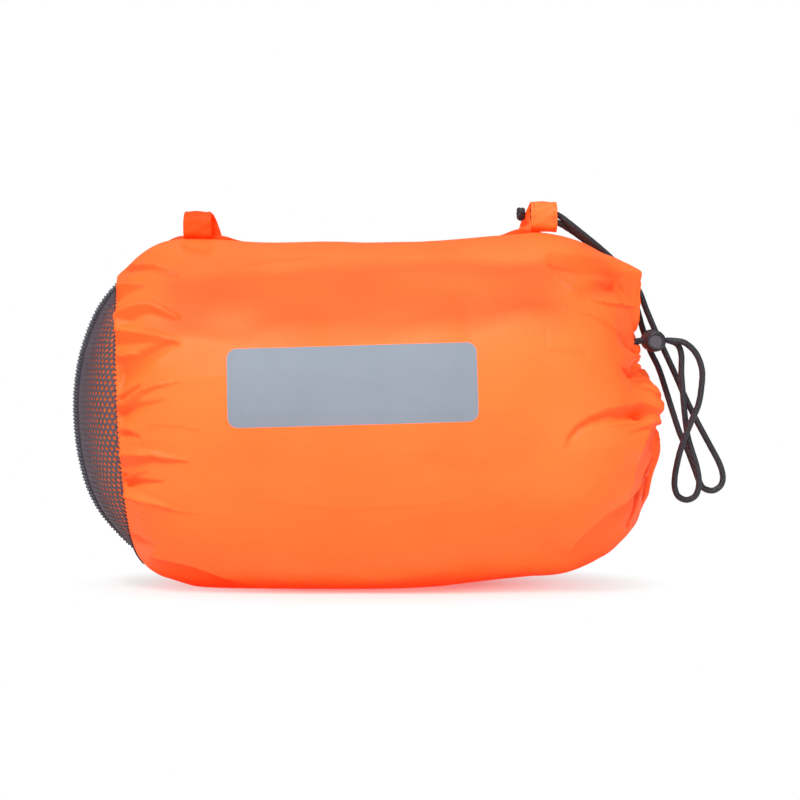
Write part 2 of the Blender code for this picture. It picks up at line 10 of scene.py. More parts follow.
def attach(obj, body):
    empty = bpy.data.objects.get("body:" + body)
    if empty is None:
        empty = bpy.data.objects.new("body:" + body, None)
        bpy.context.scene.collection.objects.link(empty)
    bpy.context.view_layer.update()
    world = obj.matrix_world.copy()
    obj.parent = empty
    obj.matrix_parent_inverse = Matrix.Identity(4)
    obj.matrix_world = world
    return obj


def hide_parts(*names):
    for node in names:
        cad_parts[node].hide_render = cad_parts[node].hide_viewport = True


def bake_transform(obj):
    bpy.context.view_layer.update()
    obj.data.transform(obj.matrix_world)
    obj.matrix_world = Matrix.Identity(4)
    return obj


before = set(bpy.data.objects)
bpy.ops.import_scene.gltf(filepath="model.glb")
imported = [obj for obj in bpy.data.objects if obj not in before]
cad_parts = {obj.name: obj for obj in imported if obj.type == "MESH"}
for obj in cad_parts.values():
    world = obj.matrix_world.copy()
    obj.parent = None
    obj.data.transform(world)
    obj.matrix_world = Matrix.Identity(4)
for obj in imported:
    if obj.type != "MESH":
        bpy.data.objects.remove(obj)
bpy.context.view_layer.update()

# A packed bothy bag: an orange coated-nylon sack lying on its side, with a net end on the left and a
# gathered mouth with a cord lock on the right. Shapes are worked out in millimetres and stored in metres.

mm = 0.001
scene = bpy.context.scene


def linked(name, data):
    obj = bpy.data.objects.new(name, data)
    scene.collection.objects.link(obj)
    return obj


# Camera, at the height of the sack's middle, looking at its long side

cameraSet = {
    "distance": 1.0,
    "elevation": 2.6,
    "aim": (0.0109, 0.0, 0.0663),
    "lens": 125.0,
    "sensor": 36.0,
}


def makeCamera():
    data = bpy.data.cameras.new("camera")
    data.lens = cameraSet["lens"]
    data.sensor_width = cameraSet["sensor"]
    tilt = math.radians(cameraSet["elevation"])
    back = Vector((0, -math.cos(tilt), math.sin(tilt)))
    camera = linked("camera", data)
    camera.location = Vector(cameraSet["aim"]) + back * cameraSet["distance"]
    camera.rotation_euler = (math.pi / 2 - tilt, 0, 0)
    scene.camera = camera


makeCamera()
print("camera ready")


# Shader maths: an expression on values adds its Math nodes

class Value:
    def __init__(self, finish, socket):
        self.finish = finish
        self.socket = socket

    def calc(self, operation, *others):
        return self.finish.add("ShaderNodeMath", {"operation": operation}, dict(enumerate((self, *others))))

    def __add__(self, other):
        return self.calc("ADD", other)

    def __sub__(self, other):
        return self.calc("SUBTRACT", other)

    def __rsub__(self, other):
        return self.finish.add("ShaderNodeMath", {"operation": "SUBTRACT"}, {0: other, 1: self})

    def __mul__(self, other):
        return self.calc("MULTIPLY", other)

    def __truediv__(self, other):
        return self.calc("DIVIDE", other)

    __radd__ = __add__
    __rmul__ = __mul__

    def clamp(self, low, high):
        return self.calc("MAXIMUM", low).calc("MINIMUM", high)

    def ramp(self, low, high):
        # 0 below low, 1 above high
        return ((self - low) / (high - low)).clamp(0.0, 1.0)


class Finish:
    def __init__(self, name, kept=bpy.data.materials, shader="Principled BSDF"):
        self.made = kept.new(name)
        self.made.use_nodes = True
        self.tree = self.made.node_tree
        self.shader = self.tree.nodes[shader]

    def add(self, kind, settings=None, inputs=None, output=0):
        node = self.tree.nodes.new(kind)
        for key, setting in (settings or {}).items():
            setattr(node, key, setting)
        self.link(node, inputs or {})
        return Value(self, node.outputs[output])

    def link(self, node, inputs):
        for key, given in inputs.items():
            if isinstance(given, Value):
                self.tree.links.new(given.socket, node.inputs[key])
            else:
                node.inputs[key].default_value = given

    def set(self, **inputs):
        self.link(self.shader, {key.replace("_", " "): given for key, given in inputs.items()})
        return self.made

    def toCamera(self, kind, factor, output):
        # by this factor, the camera sees a plain white shader instead
        white = self.add(kind, None, {"Color": (1, 1, 1, 1), "Strength": 1.0})
        own = Value(self, self.shader.outputs[0])
        mixed = self.add("ShaderNodeMixShader", None, {0: factor, 1: own, 2: white})
        self.link(self.tree.nodes[output], {"Surface": mixed})

    def split(self, vector):
        node = self.tree.nodes.new("ShaderNodeSeparateXYZ")
        self.link(node, {0: vector})
        return [Value(self, socket) for socket in node.outputs]

    def place(self):
        # the piece's own coordinates in millimetres, whole and as three values
        spot = self.add("ShaderNodeTexCoord", output=3)
        scaled = self.add("ShaderNodeVectorMath", {"operation": "SCALE"}, {0: spot, "Scale": 1 / mm})
        return scaled, self.split(scaled)

    def along(self):
        # the piece's own UV map, as two values
        return self.split(self.add("ShaderNodeUVMap", {"uv_map": "UVMap"}))[:2]

    def noise(self, vector, scale, detail=2.0, roughness=0.5):
        return self.add("ShaderNodeTexNoise", None,
                        {"Vector": vector, "Scale": scale, "Detail": detail, "Roughness": roughness})

    def mix(self, factor, first, second):
        return self.add("ShaderNodeMix", {"data_type": "RGBA"}, {0: factor, 6: first, 7: second}, output=2)

    def bump(self, height, distance, strength=1.0, normal=None):
        inputs = {"Height": height, "Distance": distance, "Strength": strength}
        if normal:
            inputs["Normal"] = normal
        return self.add("ShaderNodeBump", None, inputs)


# shade, shadeWorn and crease are painted shade colours, and glow is a painted red glow
nylonLook = {
    "colour": (0.95, 0.190, 0.036, 1), "worn": (0.93, 0.166, 0.028, 1), "shade": (0.88, 0.085, 0.010, 1),
    "shadeWorn": (0.84, 0.062, 0.007, 1), "glow": (1.0, 0.03, 0.0, 1), "glowStrength": 0.34,
    "patch": (0.262, 0.298, 0.352, 1), "patchShade": (0.232, 0.264, 0.314, 1), "patchCentre": (-5.3, 73.9),
    "patchHalf": (42.6, 13.4), "patchCorner": 3.4, "patchTilt": 1.6, "roughness": 0.5, "sheen": 0.06,
    "paintedShadeShare": 0.75, "crease": (0.42, 0.022, 0.004, 1), "paintedCreaseShare": 0.8, "weave": 14.0,
    "weaveLean": 9.0,
}
canopyLook = {
    "shade": (0.90, 0.10, 0.018, 1), "colour": (0.98, 0.22, 0.035, 1), "roughness": 0.5,
    # the painted glow at the net's tip and further in, between two places along the sack
    "tipGlow": (0.50, 0.02, 0.0, 1), "innerGlow": (0.9, 0.18, 0.045, 1), "glowStrength": 0.4,
    "glowFrom": -101.0, "glowTo": -92.0,
}
cordLook = {"shade": (0.007, 0.0075, 0.012, 1), "colour": (0.019, 0.020, 0.031, 1), "roughness": 0.56}
braidSet = {"step": 0.32, "sides": 18, "relief": 0.035, "strands": 6, "turn": 3.4}


def patchMask(x, y, z):
    # 1 inside a rounded rectangle, turned a little, on the front only
    tilt = math.radians(nylonLook["patchTilt"])
    centreX, centreZ = nylonLook["patchCentre"]
    halfWide, halfHigh = nylonLook["patchHalf"]
    corner = nylonLook["patchCorner"]
    dx, dz = x - centreX, z - centreZ
    across = dx * math.cos(tilt) + dz * math.sin(tilt)
    up = dz * math.cos(tilt) - dx * math.sin(tilt)
    sideways = (across.calc("ABSOLUTE") - (halfWide - corner)).calc("MAXIMUM", 0.0)
    upward = (up.calc("ABSOLUTE") - (halfHigh - corner)).calc("MAXIMUM", 0.0)
    outside = (sideways * sideways + upward * upward).calc("SQRT") - corner
    return (1.0 - outside.ramp(-0.09, 0.09)) * (1.0 - y.ramp(-6.0, -5.0))


def nylonFinish(name, patch, tone=("worn", "colour"), gloss=0.22):
    look = nylonLook
    finish = Finish(name)
    spot, (x, y, z) = finish.place()
    cloud = (finish.noise(spot, 0.05, 3.0) * 1.4 - 0.35).clamp(0.0, 1.0)
    colour = finish.mix(cloud, look[tone[0]], look[tone[1]])
    rough = finish.noise(spot, 0.35) * 0.12 + (look["roughness"] - 0.06)
    glow = look["glow"]
    # painted shade: the colour deepens in the folds' hollows, on their sides that face down, under flaps and
    # in the sunk band, and most along the creases
    hollow = finish.add("ShaderNodeAttribute", {"attribute_name": "hollow"}, output=2)
    colour = finish.mix(hollow.ramp(0.0, 1.0) * look["paintedShadeShare"], colour, look["shade"])
    colour = finish.mix(hollow.ramp(1.0, 2.0) * look["paintedCreaseShare"], colour, look["crease"])
    if patch:
        mask = patchMask(x, y, z)
        tint = finish.mix(finish.noise(spot, 0.06), look["patchShade"], look["patch"])
        colour = finish.mix(mask, colour, tint)
        rough = rough + mask * 0.10
        glow = finish.mix(mask, look["glow"], (0, 0, 0, 1))
    # plain weave, two crossing sets of threads
    warp = (x * look["weave"]).calc("SINE")
    weft = (z * look["weave"] + y * look["weaveLean"]).calc("SINE")
    weave = finish.bump(warp * weft, 0.00002, 0.35)
    crinkle = finish.bump(finish.noise(spot, 0.45, 4.0, 0.6), 0.0004, 0.35, weave)
    # painted glow: a steady red emission, which keeps the orange red even in its shade
    return finish.set(Base_Color=colour, Roughness=rough, Normal=crinkle, Sheen_Weight=look["sheen"],
                      Sheen_Roughness=0.4, Sheen_Tint=(1.0, 0.5, 0.25, 1), Emission_Color=glow,
                      Emission_Strength=look["glowStrength"], Specular_IOR_Level=gloss)


def plainFinish(name, colour, shade, roughness, grain, depth, **extra):
    # one colour that drifts towards a second, with a fine grain in the surface
    finish = Finish(name)
    spot, _ = finish.place()
    drift = finish.noise(spot, 0.12, 3.0)
    rough = finish.noise(spot, 0.5) * 0.14 + (roughness - 0.07)
    return finish.set(Base_Color=finish.mix(drift, shade, colour), Roughness=rough,
                      Normal=finish.bump(finish.noise(spot, grain, 3.0), depth, 0.6), **extra)


def canopyFinish():
    # painted glow, so that the cloth seen through the net looks lit, less towards the far end, as painted
    # shade where it lies deeper
    look = canopyLook
    finish = Finish("canopyCloth")
    spot, (x, _, _) = finish.place()
    drift = finish.noise(spot, 0.12, 3.0)
    glow = finish.mix(x.ramp(look["glowFrom"], look["glowTo"]), look["tipGlow"], look["innerGlow"])
    return finish.set(Base_Color=finish.mix(drift, look["shade"], look["colour"]),
                      Roughness=drift * 0.14 + (look["roughness"] - 0.07), Emission_Color=glow,
                      Emission_Strength=look["glowStrength"],
                      Normal=finish.bump(finish.noise(spot, 0.6, 3.0), 0.0006, 0.6))


def cordFinish():
    # braided cover: strands cross both ways round the cord, as its UV map runs
    finish = Finish("braidedCord")
    along, around = finish.along()
    spot, _ = finish.place()
    lead, strand = along * (2 * math.pi), around * (2 * math.pi * braidSet["strands"])
    weave = (lead + strand).calc("SINE").calc("MAXIMUM", (lead - strand).calc("SINE"))
    colour = finish.mix(weave.ramp(-0.2, 0.9), cordLook["shade"], cordLook["colour"])
    fuzz = finish.bump(finish.noise(spot, 5.0), 0.00006, 0.3)
    return finish.set(Base_Color=colour, Roughness=weave * -0.08 + cordLook["roughness"],
                      Normal=finish.bump(weave, 0.00009, 0.6, fuzz), Sheen_Weight=0.12)


nylonFront = nylonFinish("coatedNylonFront", True)
nylonPlain = nylonFinish("coatedNylon", False)
# the same nylon in its painted shade colours, with less shine
nylonPaintedShade = nylonFinish("coatedNylonPaintedShade", False, ("shadeWorn", "shade"), 0.08)
netYarn = plainFinish("netYarn", (0.112, 0.084, 0.104, 1), (0.080, 0.054, 0.068, 1), 0.62, 3.5, 0.0002)
overlockYarn = plainFinish("overlockYarn", (0.165, 0.17, 0.20, 1), (0.10, 0.103, 0.125, 1), 0.75, 4.0, 0.0002)
seamTape = plainFinish("seamTape", (0.150, 0.160, 0.205, 1), (0.115, 0.12, 0.155, 1), 0.55, 3.0, 0.0001)
darkThread = plainFinish("darkThread", (0.055, 0.045, 0.06, 1), (0.03, 0.026, 0.035, 1), 0.7, 5.0, 0.0001)
orangeThread = plainFinish("orangeThread", (0.85, 0.10, 0.02, 1), (0.7, 0.07, 0.015, 1), 0.55, 5.0, 0.0001)
lockPlastic = plainFinish("mouldedPlastic", (0.022, 0.023, 0.031, 1), (0.014, 0.015, 0.020, 1), 0.42, 2.4,
                          0.00006)
discPlastic = plainFinish("sparkedPlastic", (0.085, 0.088, 0.11, 1), (0.06, 0.062, 0.08, 1), 0.6, 4.0,
                          0.00015)
springWire = plainFinish("springWire", (0.62, 0.62, 0.63, 1), (0.45, 0.45, 0.46, 1), 0.3, 3.0, 0.00002,
                         Metallic=1.0)
canopyCloth = canopyFinish()
braidedCord = cordFinish()
print("finishes ready")


# Shared ways of making a piece

def piece(name, form, finish, body, smooth=True):
    # form is a bmesh, or a mesh that is ready
    mesh = asMesh(name, form) if isinstance(form, bmesh.types.BMesh) else form
    obj = linked(name, mesh)
    mesh.materials.append(finish)
    if smooth:
        mesh.shade_smooth()
    if body:
        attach(obj, body)
    return obj


def asMesh(name, bm):
    mesh = bpy.data.meshes.new(name)
    bm.to_mesh(mesh)
    bm.free()
    return mesh


def rows(*columns):
    # numbers or arrays side by side as columns
    return np.stack(np.broadcast_arrays(*columns), axis=-1)


def unit(vectors):
    return vectors / np.linalg.norm(vectors, axis=-1, keepdims=True)


def stepsOf(line):
    return np.linalg.norm(np.diff(line, axis=0), axis=1)


def lengthsAlong(line):
    return np.concatenate([[0], np.cumsum(stepsOf(line))])


def nearest(share, last):
    # share of the way, 0 to 1, as the nearest whole step of last
    return np.clip(np.rint(share * last).astype(int), 0, last)


def bentGrid(down, across, point, wrapRows=False, wrapColumns=False):
    # a flat grid bent into shape: point(row, column) takes and gives arrays, in millimetres
    bm = bmesh.new()
    bm.loops.layers.uv.new("UVMap")
    bmesh.ops.create_grid(bm, x_segments=down, y_segments=across, size=0.5, calc_uvs=True)
    flat = np.array([vert.co for vert in bm.verts]) + 0.5
    for vert, spot in zip(bm.verts, point(flat[:, 0], flat[:, 1]) * mm):
        vert.co = spot
    if wrapRows or wrapColumns:
        bmesh.ops.remove_doubles(bm, verts=bm.verts, dist=0.002 * mm)
    if wrapColumns and not wrapRows:
        bmesh.ops.holes_fill(bm, edges=[edge for edge in bm.edges if edge.is_boundary], sides=0)
    bmesh.ops.recalc_face_normals(bm, faces=bm.faces)
    return bm


def curveValue(knots, at):
    # smooth curve through a few knots, flat beyond its ends
    xs, ys = np.array(knots, float).T
    slopes = np.empty(len(xs))
    slopes[1:-1] = (ys[2:] - ys[:-2]) / (xs[2:] - xs[:-2])
    slopes[0] = (ys[1] - ys[0]) / (xs[1] - xs[0])
    slopes[-1] = (ys[-1] - ys[-2]) / (xs[-1] - xs[-2])
    at = np.clip(at, xs[0], xs[-1])
    i = np.clip(np.searchsorted(xs, at, side="right") - 1, 0, len(xs) - 2)
    width = xs[i + 1] - xs[i]
    t = (at - xs[i]) / width
    return (ys[i] * (2 * t**3 - 3 * t**2 + 1) + slopes[i] * width * (t**3 - 2 * t**2 + t)
            + ys[i + 1] * (3 * t**2 - 2 * t**3) + slopes[i + 1] * width * (t**3 - t**2))


def ease(t):
    t = np.clip(t, 0.0, 1.0)
    return t * t * (3 - 2 * t)


def bump(offset, width):
    return np.exp(-(offset / width) ** 2)


def peak(offset, width):
    # like bump, but drawn to a sharper top
    return np.exp(-np.sqrt((offset / width) ** 2 + 0.01) ** 1.3)


def smoothRoute(points, step):
    # even points on a smooth curve through the route's own points, and its length
    points = np.array(points)
    knots = np.arange(len(points))
    at = np.linspace(0, knots[-1], knots[-1] * 24 + 1)
    fine = rows(*(curveValue(rows(knots, axis), at) for axis in points.T))
    lengths = lengthsAlong(fine)
    even = np.linspace(0, lengths[-1], max(2, round(lengths[-1] / step)) + 1)
    return rows(*(np.interp(even, lengths, axis) for axis in fine.T)), lengths[-1]


def routeFrames(route):
    # two directions square to the route at each point, carried along without twisting
    tangents = unit(np.gradient(route, axis=0))
    side = np.cross(tangents[0], (0.1, 0.2, 1.0))
    sides = []
    for tangent in tangents:
        side = unit(side - tangent * np.dot(side, tangent))
        sides.append(side)
    return np.array(sides), np.cross(tangents, sides)


def roundTube(route, sides, reach):
    # a round section swept along a route: reach(row, angle) gives its radius
    across, up = routeFrames(route)
    last = len(route) - 1

    def point(row, column):
        i = nearest(row, last)
        angle = 2 * math.pi * column
        way = across[i] * np.cos(angle)[:, None] + up[i] * np.sin(angle)[:, None]
        return route[i] + way * reach(row, angle)[:, None]

    return bentGrid(last, sides, point, wrapColumns=True)


def cordTube(route, radius, ends=True):
    # a round tube whose skin rises and falls with its braid's strands, and whose ends are rounded
    length = stepsOf(route).sum()
    turns = length / braidSet["turn"]

    def reach(row, angle):
        lead, strand = row * turns * 2 * math.pi, braidSet["strands"] * angle
        weave = np.maximum(np.sin(lead + strand), np.sin(lead - strand))
        skin = radius + braidSet["relief"] * (weave - 0.6)
        if ends:
            away = np.clip(np.minimum(row, 1 - row) * length / 0.5, 0, 1)
            skin = skin * np.sqrt(np.clip(1 - (1 - away) ** 2, 0.02, 1))
        return skin

    bm = roundTube(route, braidSet["sides"], reach)
    uv = bm.loops.layers.uv.active
    for face in bm.faces:
        for loop in face.loops:
            loop[uv].uv = (loop[uv].uv[0] * turns, loop[uv].uv[1])
    return bm


# Cords: routes in metres, from the cord lock or the knot

cordSet = {
    "diameter": 0.0022,
    "drawcord": (
        (.10615, -.0042, .0877), (.1082, -.0042, .0878), (.1128, -.005, .087), (.1168, -.0056, .0832),
        (.1189, -.006, .0774), (.1187, -.0062, .071), (.1176, -.0063, .0648), (.1152, -.0063, .059),
        (.1132, -.0063, .054), (.1112, -.006, .0481), (.1099, -.0054, .0421), (.1094, -.005, .0382),
        (.1095, -.0048, .0349), (.1108, -.0045, .0319), (.1138, -.0043, .0306), (.1168, -.0041, .0319),
        (.1181, -.0039, .0349), (.1182, -.0036, .0384), (.1173, -.0033, .0432), (.1157, -.0031, .0483),
        (.1142, -.003, .0536), (.1132, -.003, .0606), (.1125, -.0029, .068), (.1119, -.0025, .076),
        (.1119, -.0022, .0824), (.1106, -.0019, .0862), (.1075, -.0018, .0877), (.10615, -.0018, .0877)),
    "tether": (
        (.0576, .0021, .1346), (.0625, .0021, .1342), (.0676, .0021, .1328), (.0716, .002, .13),
        (.0756, .0032, .1269), (.0824, .006, .1216), (.0882, .0086, .1166), (.0934, .01, .1114),
        (.0976, .0102, .1056), (.1004, .0099, .0985), (.104, .0096, .09), (.1074, .0086, .0825),
        (.1111, .0074, .0743), (.1144, .0064, .0666), (.1184, .0056, .0584), (.1228, .005, .0502),
        (.1264, .0048, .0434), (.1278, .0047, .0386), (.1271, .0046, .0352), (.1243, .0044, .0333),
        (.1211, .0043, .034), (.1194, .0042, .0362), (.1172, .004, .042), (.1148, .0039, .0482),
        (.1122, .004, .0538), (.1098, .0046, .061), (.1072, .0056, .0694), (.1046, .0074, .0776),
        (.1014, .0098, .0846), (.099, .0128, .0926), (.0972, .0152, .0996), (.0942, .0168, .1066),
        (.0896, .0168, .1134), (.0834, .0144, .1198), (.0772, .0104, .1244), (.072, .0062, .1278),
        (.0676, .0025, .1301), (.0625, .0021, .1315), (.0576, .0021, .1321)),
}
hemCord = {
    "front": ((.10585, -.0042, .0877), (.1018, -.0042, .0877), (.097, -.0042, .0877), (.0948, -.0048, .0867),
              (.0933, -.0059, .0846)),
    "back": ((.0933, .0019, .0855), (.0948, -.0008, .0869), (.097, -.0018, .0877), (.1018, -.0018, .0877),
             (.10585, -.0018, .0877)),
    "throat": (.093, 0, .077), "ring": .0082, "turns": (52, 326),
}
knotSet = {"centre": (54.4, 2.6, 133.4), "size": 0.60, "cord": 0.92, "points": 170}


def freeCord(name, node, body, route):
    path, length = smoothRoute(np.array(route) / mm, braidSet["step"])
    obj = piece(name, cordTube(path, cordSet["diameter"] / mm / 2), braidedCord, body)
    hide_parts(node)
    return obj, path[::4] * mm, length * mm


def makeKnot():
    # overhand knot, the closed three-lobed loop that it makes when it is drawn tight
    turn = np.linspace(0, 2 * math.pi, knotSet["points"])
    loop = rows(-np.sin(3 * turn) * 1.15, np.sin(turn) + 2 * np.sin(2 * turn),
                np.cos(turn) - 2 * np.cos(2 * turn)) * knotSet["size"] + np.array(knotSet["centre"])
    tube = cordTube(loop, knotSet["cord"], ends=False)
    obj = piece("tetherKnot", tube, braidedCord, "bag")
    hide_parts("tether_knot")
    return obj


def hemRoute():
    x, _, z = hemCord["throat"]
    turns = np.radians(np.linspace(*hemCord["turns"], 13))
    ring = [(x, -hemCord["ring"] * math.sin(turn), z + hemCord["ring"] * math.cos(turn)) for turn in turns]
    return (*hemCord["front"], *ring, *hemCord["back"])


def makeCords():
    freeCord("drawcordInHem", "drawcord_in_hem", "bag", hemRoute())
    knot = makeKnot()
    loop, path, length = freeCord("drawcordLoop", "drawcord_loop", "cord_lock", cordSet["drawcord"])
    print(f"drawcord loop {length * 1000:.1f} mm")
    tether, path, length = freeCord("tetherLoop", "tether_loop", "bag", cordSet["tether"])
    print(f"tether loop {length * 1000:.1f} mm")


makeCords()


# The filled sack's form, by curves close to its solid's own

sack = {
    "crest": ((-94, 105), (-88, 113), (-77, 121), (-67, 123.4), (-31, 122.8), (4, 123), (34, 123.9),
              (61, 126.6)),
    "keel": ((-94, 22), (-84, 11.6), (-78, 4.7), (-70, 1.5), (-59, -1.4), (-41, -2.5), (4, -2.8), (39, 1),
             (61, 3.2)),
    "depth": ((-94, 38), (-85, 47), (-71, 54), (-46, 57.5), (-1, 58.5), (39, 58), (61, 56)),
    "sleeve": ((0, -90.2), (32, -88.4), (58, -87.4), (90, -86.2), (119, -84.8), (148, -83.6), (165, -82.2),
               (180, -79.6)),
    "shoulder": 59.0,
    "throat": (93.0, 0.0, 77.0), "rim": 12.2,
    "reach": ((0, 96.3), (20, 94.6), (40, 92.6), (60, 92.4), (78, 92.2), (88, 97), (98, 102.2), (107, 104.5),
              (117, 100.9), (128, 100.8), (150, 103), (175, 104.4), (195, 104.2), (230, 102), (270, 99.5),
              (310, 96), (335, 94), (350, 94.6), (360, 96.3)),
    "rounding": 2.5, "slack": 0.55, "slackTurn": 40.0, "keelSlack": 0.28, "keelSlackTurn": 45.0, "dip": 0.13,
    "pleats": 15, "pleatDepth": 1.7, "calmPleats": 0.8, "calmTurn": 128, "calmReach": 38,
    "corner": {"rise": 10.6, "turn": 10.5, "span": 0.63, "outer": 0.12, "inner": 0.22},
    "seamTurn": 190.0, "middle": 61,
    "bodyShare": 0.55, "crowding": 1.2, "endCrowding": 0.85,
}


def bodyPoint(x, turn):
    # turn 0 is the crest, 90 the front, 180 the keel, 270 the back
    top, bottom, depth = (curveValue(sack[key], x) for key in ("crest", "keel", "depth"))
    angle = np.radians(turn)
    z = np.maximum((top + bottom) / 2 + (top - bottom) / 2 * np.cos(angle), 0.0)
    return rows(x, -depth * np.sin(angle), z)


def sleeveEdge(turn):
    return curveValue(sack["sleeve"], np.minimum(turn, 360 - turn))


def mouthPoint(span, turn):
    # span 1 is the shoulder, 0 the drawn rim round the throat
    turn = np.mod(turn, 360)
    angle = np.radians(turn)
    throatX, throatY, throatZ = sack["throat"]
    rim = rows(0, throatY - sack["rim"] * np.sin(angle), throatZ + sack["rim"] * np.cos(angle))
    shoulder = bodyPoint(sack["shoulder"], turn)
    spot = rim + (shoulder - rim) * span[..., None]
    reach = curveValue(sack["reach"], turn)
    crestTurn = np.minimum(turn, 360 - turn)
    power = sack["rounding"] - sack["slack"] * bump(crestTurn, sack["slackTurn"])
    power = power - sack["keelSlack"] * bump(180 - crestTurn, sack["keelSlackTurn"])
    rounded = (1 - span**power) ** (1 / power)
    dip = (reach - throatX) * bump(span, sack["dip"])
    calm = 1 - sack["calmPleats"] * bump(turn - sack["calmTurn"], sack["calmReach"])
    fade = ease(span / 0.1) * ease((0.8 - span) / 0.5) * calm
    # the main gathers, each with its own width, and finer ones between them near the rim
    drift = 9 * np.sin(np.radians(turn * 2 + 40)) + 6 * np.sin(np.radians(turn * 5))
    main = np.cos(np.radians(sack["pleats"] * turn + drift * 3))
    fine = np.cos(np.radians(sack["pleats"] * 2.0 * turn + drift * 8 + 60)) * ease((0.55 - span) / 0.3)
    pleat = sack["pleatDepth"] * (np.abs(main) ** 0.7 * np.sign(main) + 0.35 * fine) * fade
    fold = sack["corner"]
    width = np.where(span > fold["span"], fold["outer"], fold["inner"])
    corner = fold["rise"] * peak(crestTurn, fold["turn"]) * peak(span - fold["span"], width)
    spot[..., 0] = sack["shoulder"] + (reach - sack["shoulder"]) * rounded - dip + pleat + corner
    return spot


def sackPoint(row, turn):
    edge = sleeveEdge(turn)
    share = sack["bodyShare"]
    inward = (np.minimum(row, share) / share) ** sack["crowding"]
    body = bodyPoint(edge + (sack["shoulder"] - edge) * inward, turn)
    step = np.clip((row - share) / (1 - share), 0, 1)
    mouth = mouthPoint(np.cos(np.radians(90 * step)) ** sack["endCrowding"], turn)
    return np.where((row <= share)[..., None], body, mouth)


# Folds on the front, as (kind, depth, width on the line's left and right side, share of both at its start and
# its end, points as (x, z) that the camera sees in the sack's middle plane)

